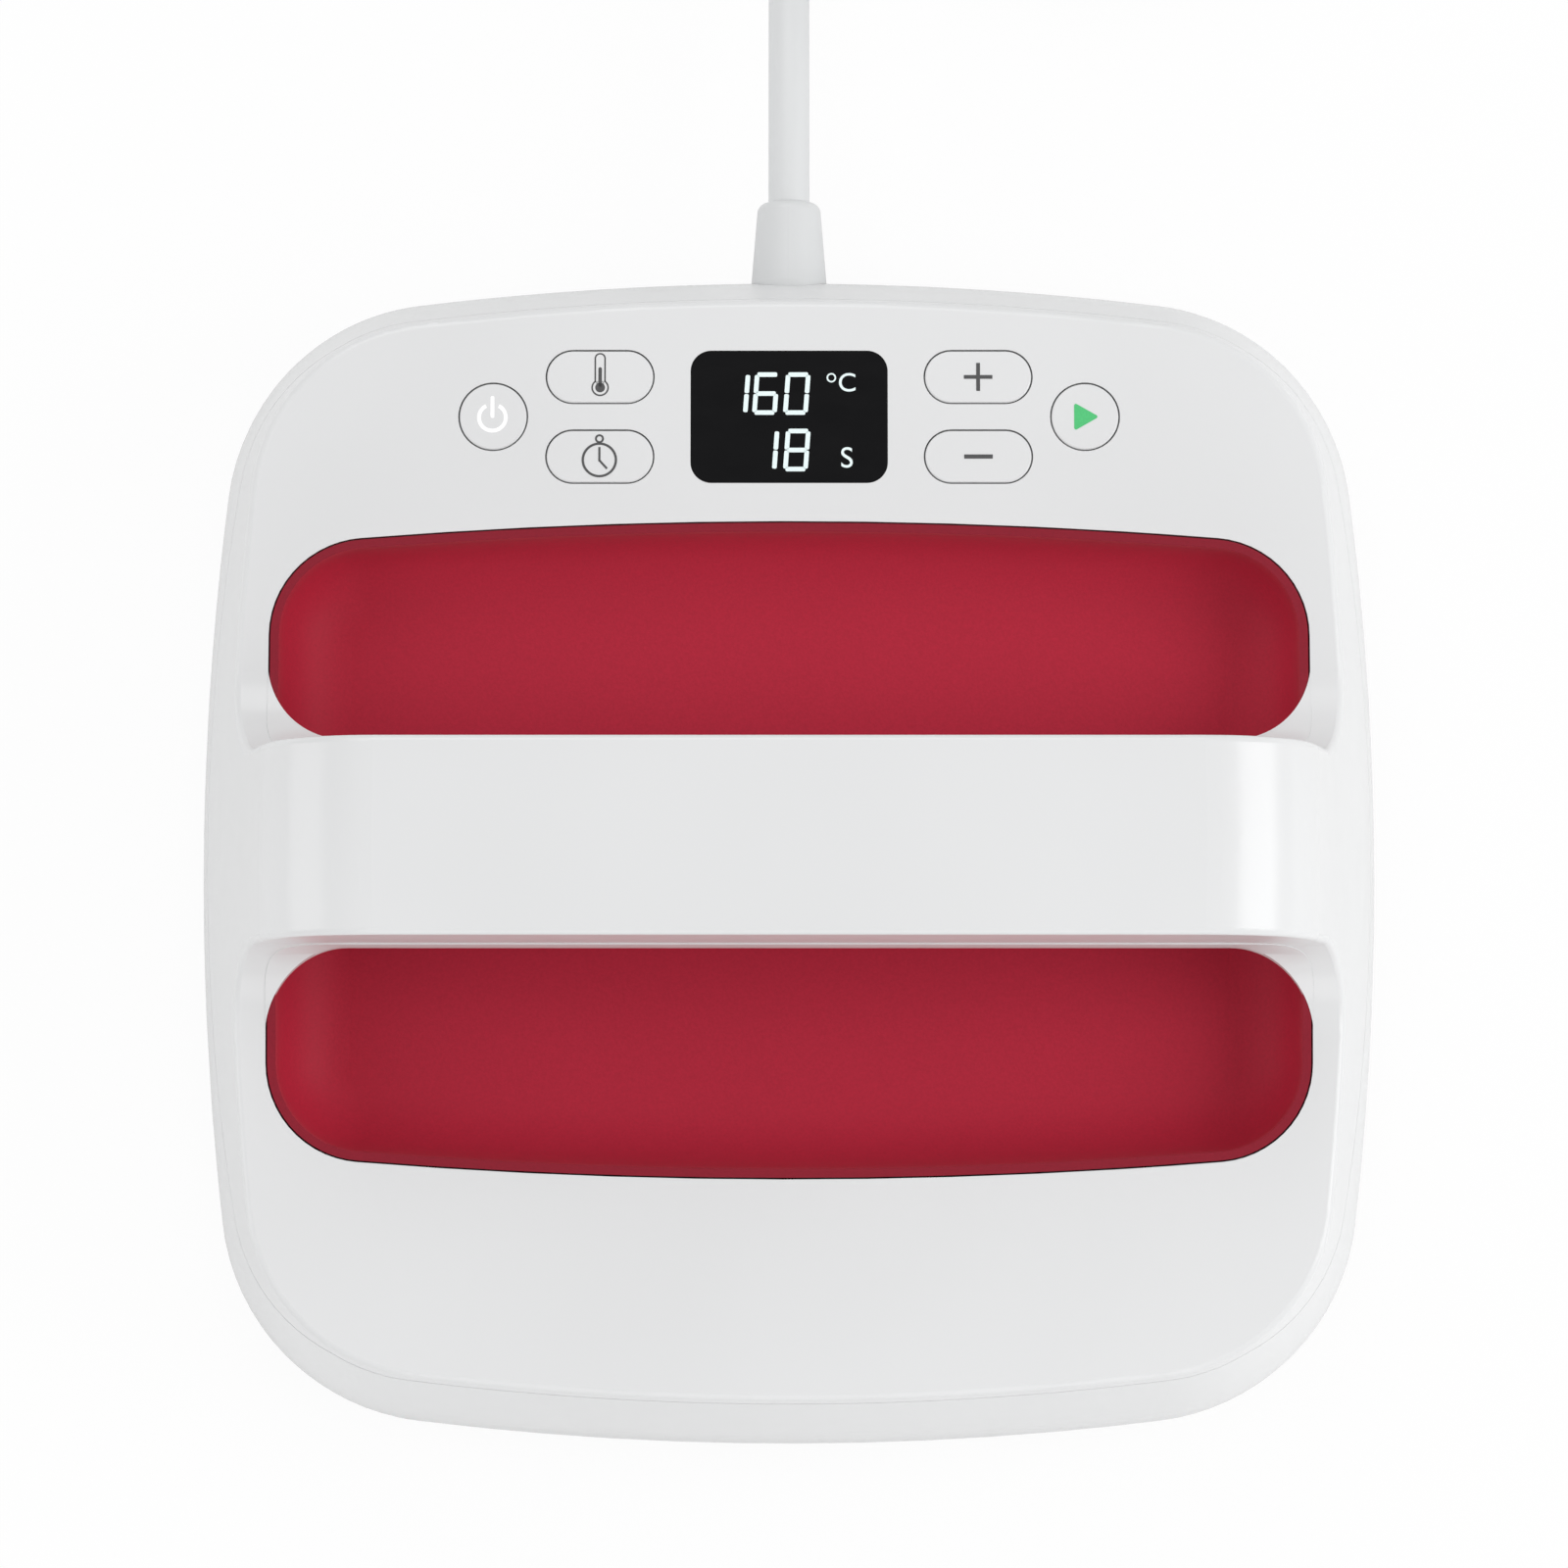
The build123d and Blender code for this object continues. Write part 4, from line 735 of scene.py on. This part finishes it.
class HEATPRESS_OT_key_marks(bpy.types.Operator):
    """Print the symbols on the six keys"""

    bl_idname = "heatpress.key_marks"
    bl_label = "Mark the keys"

    def execute(self, context):
        colours = context.scene.heat_press_colours
        rise = context.scene.heat_press_sizes.mark_relief + 0.01 * MM
        grey = lit_print("grey symbol ink", tuple(colours.mark_grey), 0.0)
        # The white power symbol is not lit, so its faint glow of 0.12 is painted light.
        white = lit_print("white symbol with painted glow", (0.93, 0.93, 0.93), 0.12)
        green = lit_print("green start symbol", tuple(colours.start_green), 0.10)
        paper = bpy.data.materials["key caps"]

        ring = plate_ring("power_ring", 3.6 * MM, 0.92 * MM, rise, gap=math.radians(56))
        bar = plate_bar("power_bar", 5.2 * MM, 0.92 * MM, rise, y=2.5 * MM, chamfer=0.3 * MM)
        mark = joined("power_mark", [ring, bar])
        print_mark(mark, "power", white)

        # The thermometer's layers: ink, share of the height, tube's radius, foot and stretch, bulb's radius
        layers = {
            "thermometer_edge": (grey, 0.6, 1.33, -1.9, 6.1, 2.05),
            "thermometer_inside": (paper, 0.8, 0.95, -1.9, 6.1, 1.67),
            "thermometer_column": (grey, 1.0, 0.42, -2.2, 3.9, 1.15),
        }
        for name, (ink, share, tube_radius, tube_y, stretch, bulb_radius) in layers.items():
            height = rise * share
            tube = plate_disc("tube", tube_radius * MM, height, y=tube_y * MM, stretch=stretch * MM)
            bulb = plate_disc("bulb", bulb_radius * MM, height, y=-2.75 * MM)
            mark = joined(name, [tube, bulb])
            print_mark(mark, "temperature", ink)

        ring = plate_ring("watch_ring", 4.15 * MM, 0.55 * MM, rise)
        crown = plate_ring("watch_crown", 1.05 * MM, 0.45 * MM, rise, y=5.05 * MM, sides=32)
        hand = plate_bar("watch_hand", 3.4 * MM, 0.5 * MM, rise, y=1.35 * MM)
        slope_hand = plate_bar(
            "watch_slope_hand", 2.6 * MM, 0.5 * MM, rise, x=0.92 * MM, y=-1.12 * MM, turn=math.radians(42)
        )
        mark = joined("stopwatch_mark", [ring, crown, hand, slope_hand])
        print_mark(mark, "timer", grey)

        across = plate_bar("plus_across", 6.7 * MM, 0.9 * MM, rise, turn=math.pi / 2, chamfer=0.1 * MM)
        upright = plate_bar("plus_upright", 6.7 * MM, 0.9 * MM, rise * 0.97, chamfer=0.1 * MM)
        mark = joined("plus_mark", [across, upright])
        print_mark(mark, "plus", grey)
        mark = plate_bar("minus_mark", 6.7 * MM, 1.0 * MM, rise, turn=math.pi / 2, chamfer=0.1 * MM)
        print_mark(mark, "minus", grey)

        deselect_all()
        bpy.ops.mesh.primitive_circle_add(vertices=3, radius=3.9 * MM, fill_type="NGON")
        mark = named("start_mark")
        bpy.ops.object.mode_set(mode="EDIT")
        bpy.ops.mesh.select_all(action="SELECT")
        bpy.ops.mesh.bevel(offset=0.8 * MM, segments=5, affect="VERTICES")
        raise_flat(rise)
        mark.rotation_euler = (0, 0, -math.pi / 2)
        bpy.ops.object.transform_apply(location=True, rotation=True, scale=True)
        print_mark(mark, "start", green)
        return {"FINISHED"}


# Segments that each digit lights: top, upper right, lower right, foot, lower left, upper left, middle
LIT = {"0": "abcdef", "1": "bc", "6": "acdefg", "8": "abcdefg"}


class HEATPRESS_OT_readout(bpy.types.Operator):
    """Light the read-out: slanted seven-segment digits with their unit letters"""

    bl_idname = "heatpress.readout"
    bl_label = "Light the read-out"

    def execute(self, context):
        sizes = context.scene.heat_press_sizes
        rise = sizes.mark_relief
        lit = lit_print("lit segments", tuple(context.scene.heat_press_colours.readout_white), 0.12)
        width = sizes.digit_width
        height = sizes.digit_height
        stroke = sizes.digit_stroke
        lean = math.tan(sizes.digit_slant)
        segments = []

        def segment(x, y, upright):
            length = height / 2 - 0.75 * MM if upright else width - 1.15 * MM
            turn = -sizes.digit_slant if upright else math.pi / 2
            bar = plate_bar("segment", length, stroke, rise, x=x, y=y, turn=turn, chamfer=stroke * 0.3)
            segments.append(bar)

        def digit(figure, middle_x, middle_y):
            half_x = (width - stroke) / 2
            half_y = (height - stroke) / 2
            places = {
                "a": (0, half_y, False), "b": (half_x, half_y / 2, True), "c": (half_x, -half_y / 2, True),
                "d": (0, -half_y, False), "e": (-half_x, -half_y / 2, True), "f": (-half_x, half_y / 2, True),
                "g": (0, 0, False),
            }
            shift = -half_x if figure == "1" else 0
            for letter in LIT[figure]:
                x, y, upright = places[letter]
                segment(middle_x + x + shift + y * lean, middle_y + y, upright)

        upper = 5.52 * MM
        lower = -7.95 * MM
        digit("1", -9.95 * MM, upper)
        digit("6", -5.45 * MM, upper)
        digit("0", 1.80 * MM, upper)
        digit("1", -3.15 * MM, lower)
        digit("8", 1.80 * MM, lower)
        figures = joined("readout_figures", segments)
        on_panel(figures, 0, 0)
        finish_piece(figures, lit, HOUSING)
        degree = plate_ring("degree_ring", 1.12 * MM, 0.36 * MM, rise, x=9.9 * MM, y=9.3 * MM, sides=32)
        unit = lettering("unit_c", "C", 6.3 * MM, rise, 13.6 * MM, 7.95 * MM)
        second = lettering("unit_s", "S", 7.0 * MM, rise, 13.5 * MM, -10.0 * MM)
        units = joined("readout_units", [degree, unit, second])
        on_panel(units, 0, 0)
        finish_piece(units, lit, HOUSING)
        return {"FINISHED"}


def seen_directly(nodes, links):
    """One for a ray from the camera, straight or through glass, and zero for any other light."""
    path = nodes.new("ShaderNodeLightPath")
    seen = nodes.new("ShaderNodeMath")
    seen.operation = "MAXIMUM"
    links.new(path.outputs["Is Camera Ray"], seen.inputs[0])
    links.new(path.outputs["Is Transmission Ray"], seen.inputs[1])
    return seen.outputs[0]


def softbox(name, place, aim, size, power):
    """An area lamp that faces a point."""
    lamp = bpy.data.lights.new(name, "AREA")
    lamp.shape = "SQUARE"
    lamp.size = size
    lamp.energy = power
    holder = bpy.data.objects.new(name, lamp)
    holder.location = place
    holder.rotation_euler = (Vector(aim) - Vector(place)).to_track_quat("-Z", "Y").to_euler()
    bpy.context.scene.collection.objects.link(holder)


class HEATPRESS_OT_stage(bpy.types.Operator):
    """Set the stage: white floor, soft studio light and the photo's camera"""

    bl_idname = "heatpress.stage"
    bl_label = "Set the stage"

    def execute(self, context):
        scene = context.scene
        scene.view_settings.view_transform = "Standard"
        deselect_all()
        bpy.ops.mesh.primitive_plane_add(size=8)
        floor = named("floor")
        floor.location.z = -0.3 * MM
        paper = bpy.data.materials.new("white paper sweep")
        paper.use_nodes = True
        nodes = paper.node_tree.nodes
        links = paper.node_tree.links
        skin = nodes["Principled BSDF"]
        skin.inputs["Base Color"].default_value = (0.86, 0.86, 0.86, 1)
        skin.inputs["Roughness"].default_value = 0.9
        skin.inputs["Specular IOR Level"].default_value = 0.0
        glow = nodes.new("ShaderNodeEmission")
        glow.inputs["Strength"].default_value = BACKGROUND_STRENGTH
        share = nodes.new("ShaderNodeMath")
        share.operation = "MULTIPLY"
        share.inputs[1].default_value = 0.93
        links.new(seen_directly(nodes, links), share.inputs[0])
        mix = nodes.new("ShaderNodeMixShader")
        links.new(share.outputs[0], mix.inputs["Fac"])
        links.new(skin.outputs[0], mix.inputs[1])
        links.new(glow.outputs[0], mix.inputs[2])
        links.new(mix.outputs[0], nodes["Material Output"].inputs["Surface"])
        floor.data.materials.append(paper)

        # A near-black sheet of painted shade under the foot, so that the seams show shade and no white floor
        # shines up through them
        deselect_all()
        bpy.ops.mesh.primitive_plane_add(size=234 * MM)
        shade_plane = named("painted_shade_sheet")
        shade_plane.location.z = -0.15 * MM
        dark = Tree("painted shade sheet")
        dark.set(Roughness=0.95)
        stops = [(0.3, (0.012, 0.012, 0.012)), (0.7, (0.022, 0.022, 0.022))]
        dark.feed(dark.colours(dark.waves(300.0), stops), "Base Color")
        shade_plane.data.materials.append(dark.material)

        world = bpy.data.worlds.new("studio")
        scene.world = world
        world.use_nodes = True
        nodes = world.node_tree.nodes
        links = world.node_tree.links
        lit = nodes["Background"]
        lit.inputs["Color"].default_value = (1, 1, 1, 1)
        lit.inputs["Strength"].default_value = 0.62
        shown = nodes.new("ShaderNodeBackground")
        shown.inputs["Color"].default_value = (1, 1, 1, 1)
        shown.inputs["Strength"].default_value = BACKGROUND_STRENGTH
        mix = nodes.new("ShaderNodeMixShader")
        links.new(seen_directly(nodes, links), mix.inputs["Fac"])
        links.new(lit.outputs[0], mix.inputs[1])
        links.new(shown.outputs[0], mix.inputs[2])
        links.new(mix.outputs[0], nodes["World Output"].inputs["Surface"])

        softbox("key softbox", (1.25, -0.10, 0.95), (0, 0, 0.05), 1.0, 10.0)
        softbox("left softbox", (-1.30, -0.10, 0.55), (0, 0, 0.05), 0.9, 4.0)
        softbox("rear softbox", (-0.25, 1.25, 1.15), (0, 0, 0.05), 1.0, 5.5)
        softbox("front softbox", (0.10, -1.35, 0.60), (0, 0, 0.03), 0.9, 3.5)

        camera = bpy.data.cameras.new("photo camera")
        camera.lens = LENS
        camera.sensor_width = 36.0
        holder = bpy.data.objects.new("photo camera", camera)
        tilt = math.pi / 2 - CAMERA_ELEVATION
        holder.location = CAMERA_AIM + CAMERA_DISTANCE * Vector((0, -math.sin(tilt), math.cos(tilt)))
        holder.rotation_euler = (tilt, 0, 0)
        scene.collection.objects.link(holder)
        scene.camera = holder
        return {"FINISHED"}


class HEATPRESS_PT_panel(bpy.types.Panel):
    """Lists the steps that dress the heat press"""

    bl_idname = "HEATPRESS_PT_panel"
    bl_label = "Heat press"
    bl_space_type = "VIEW_3D"
    bl_region_type = "UI"
    bl_category = "Heat press"

    def draw(self, context):
        layout = self.layout
        for group in (context.scene.heat_press_colours, context.scene.heat_press_sizes):
            for key in group.__annotations__:
                layout.prop(group, key)
        for step in STEPS:
            layout.operator(step.bl_idname)


STEPS = (
    HEATPRESS_OT_finishes,
    HEATPRESS_OT_corner_webs,
    HEATPRESS_OT_mains_cord,
    HEATPRESS_OT_key_marks,
    HEATPRESS_OT_readout,
    HEATPRESS_OT_stage,
)
CLASSES = (HeatPressColours, HeatPressSizes, *STEPS, HEATPRESS_PT_panel)


def register():
    for cls in CLASSES:
        bpy.utils.register_class(cls)
    bpy.types.Scene.heat_press_colours = bpy.props.PointerProperty(type=HeatPressColours)
    bpy.types.Scene.heat_press_sizes = bpy.props.PointerProperty(type=HeatPressSizes)


def unregister():
    del bpy.types.Scene.heat_press_sizes
    del bpy.types.Scene.heat_press_colours
    for cls in reversed(CLASSES):
        bpy.utils.unregister_class(cls)


def main():
    register()
    bpy.ops.heatpress.finishes()
    bpy.ops.heatpress.corner_webs()
    bpy.ops.heatpress.mains_cord()
    bpy.ops.heatpress.key_marks()
    bpy.ops.heatpress.readout()
    bpy.ops.heatpress.stage()


if __name__ == "__main__":
    main()
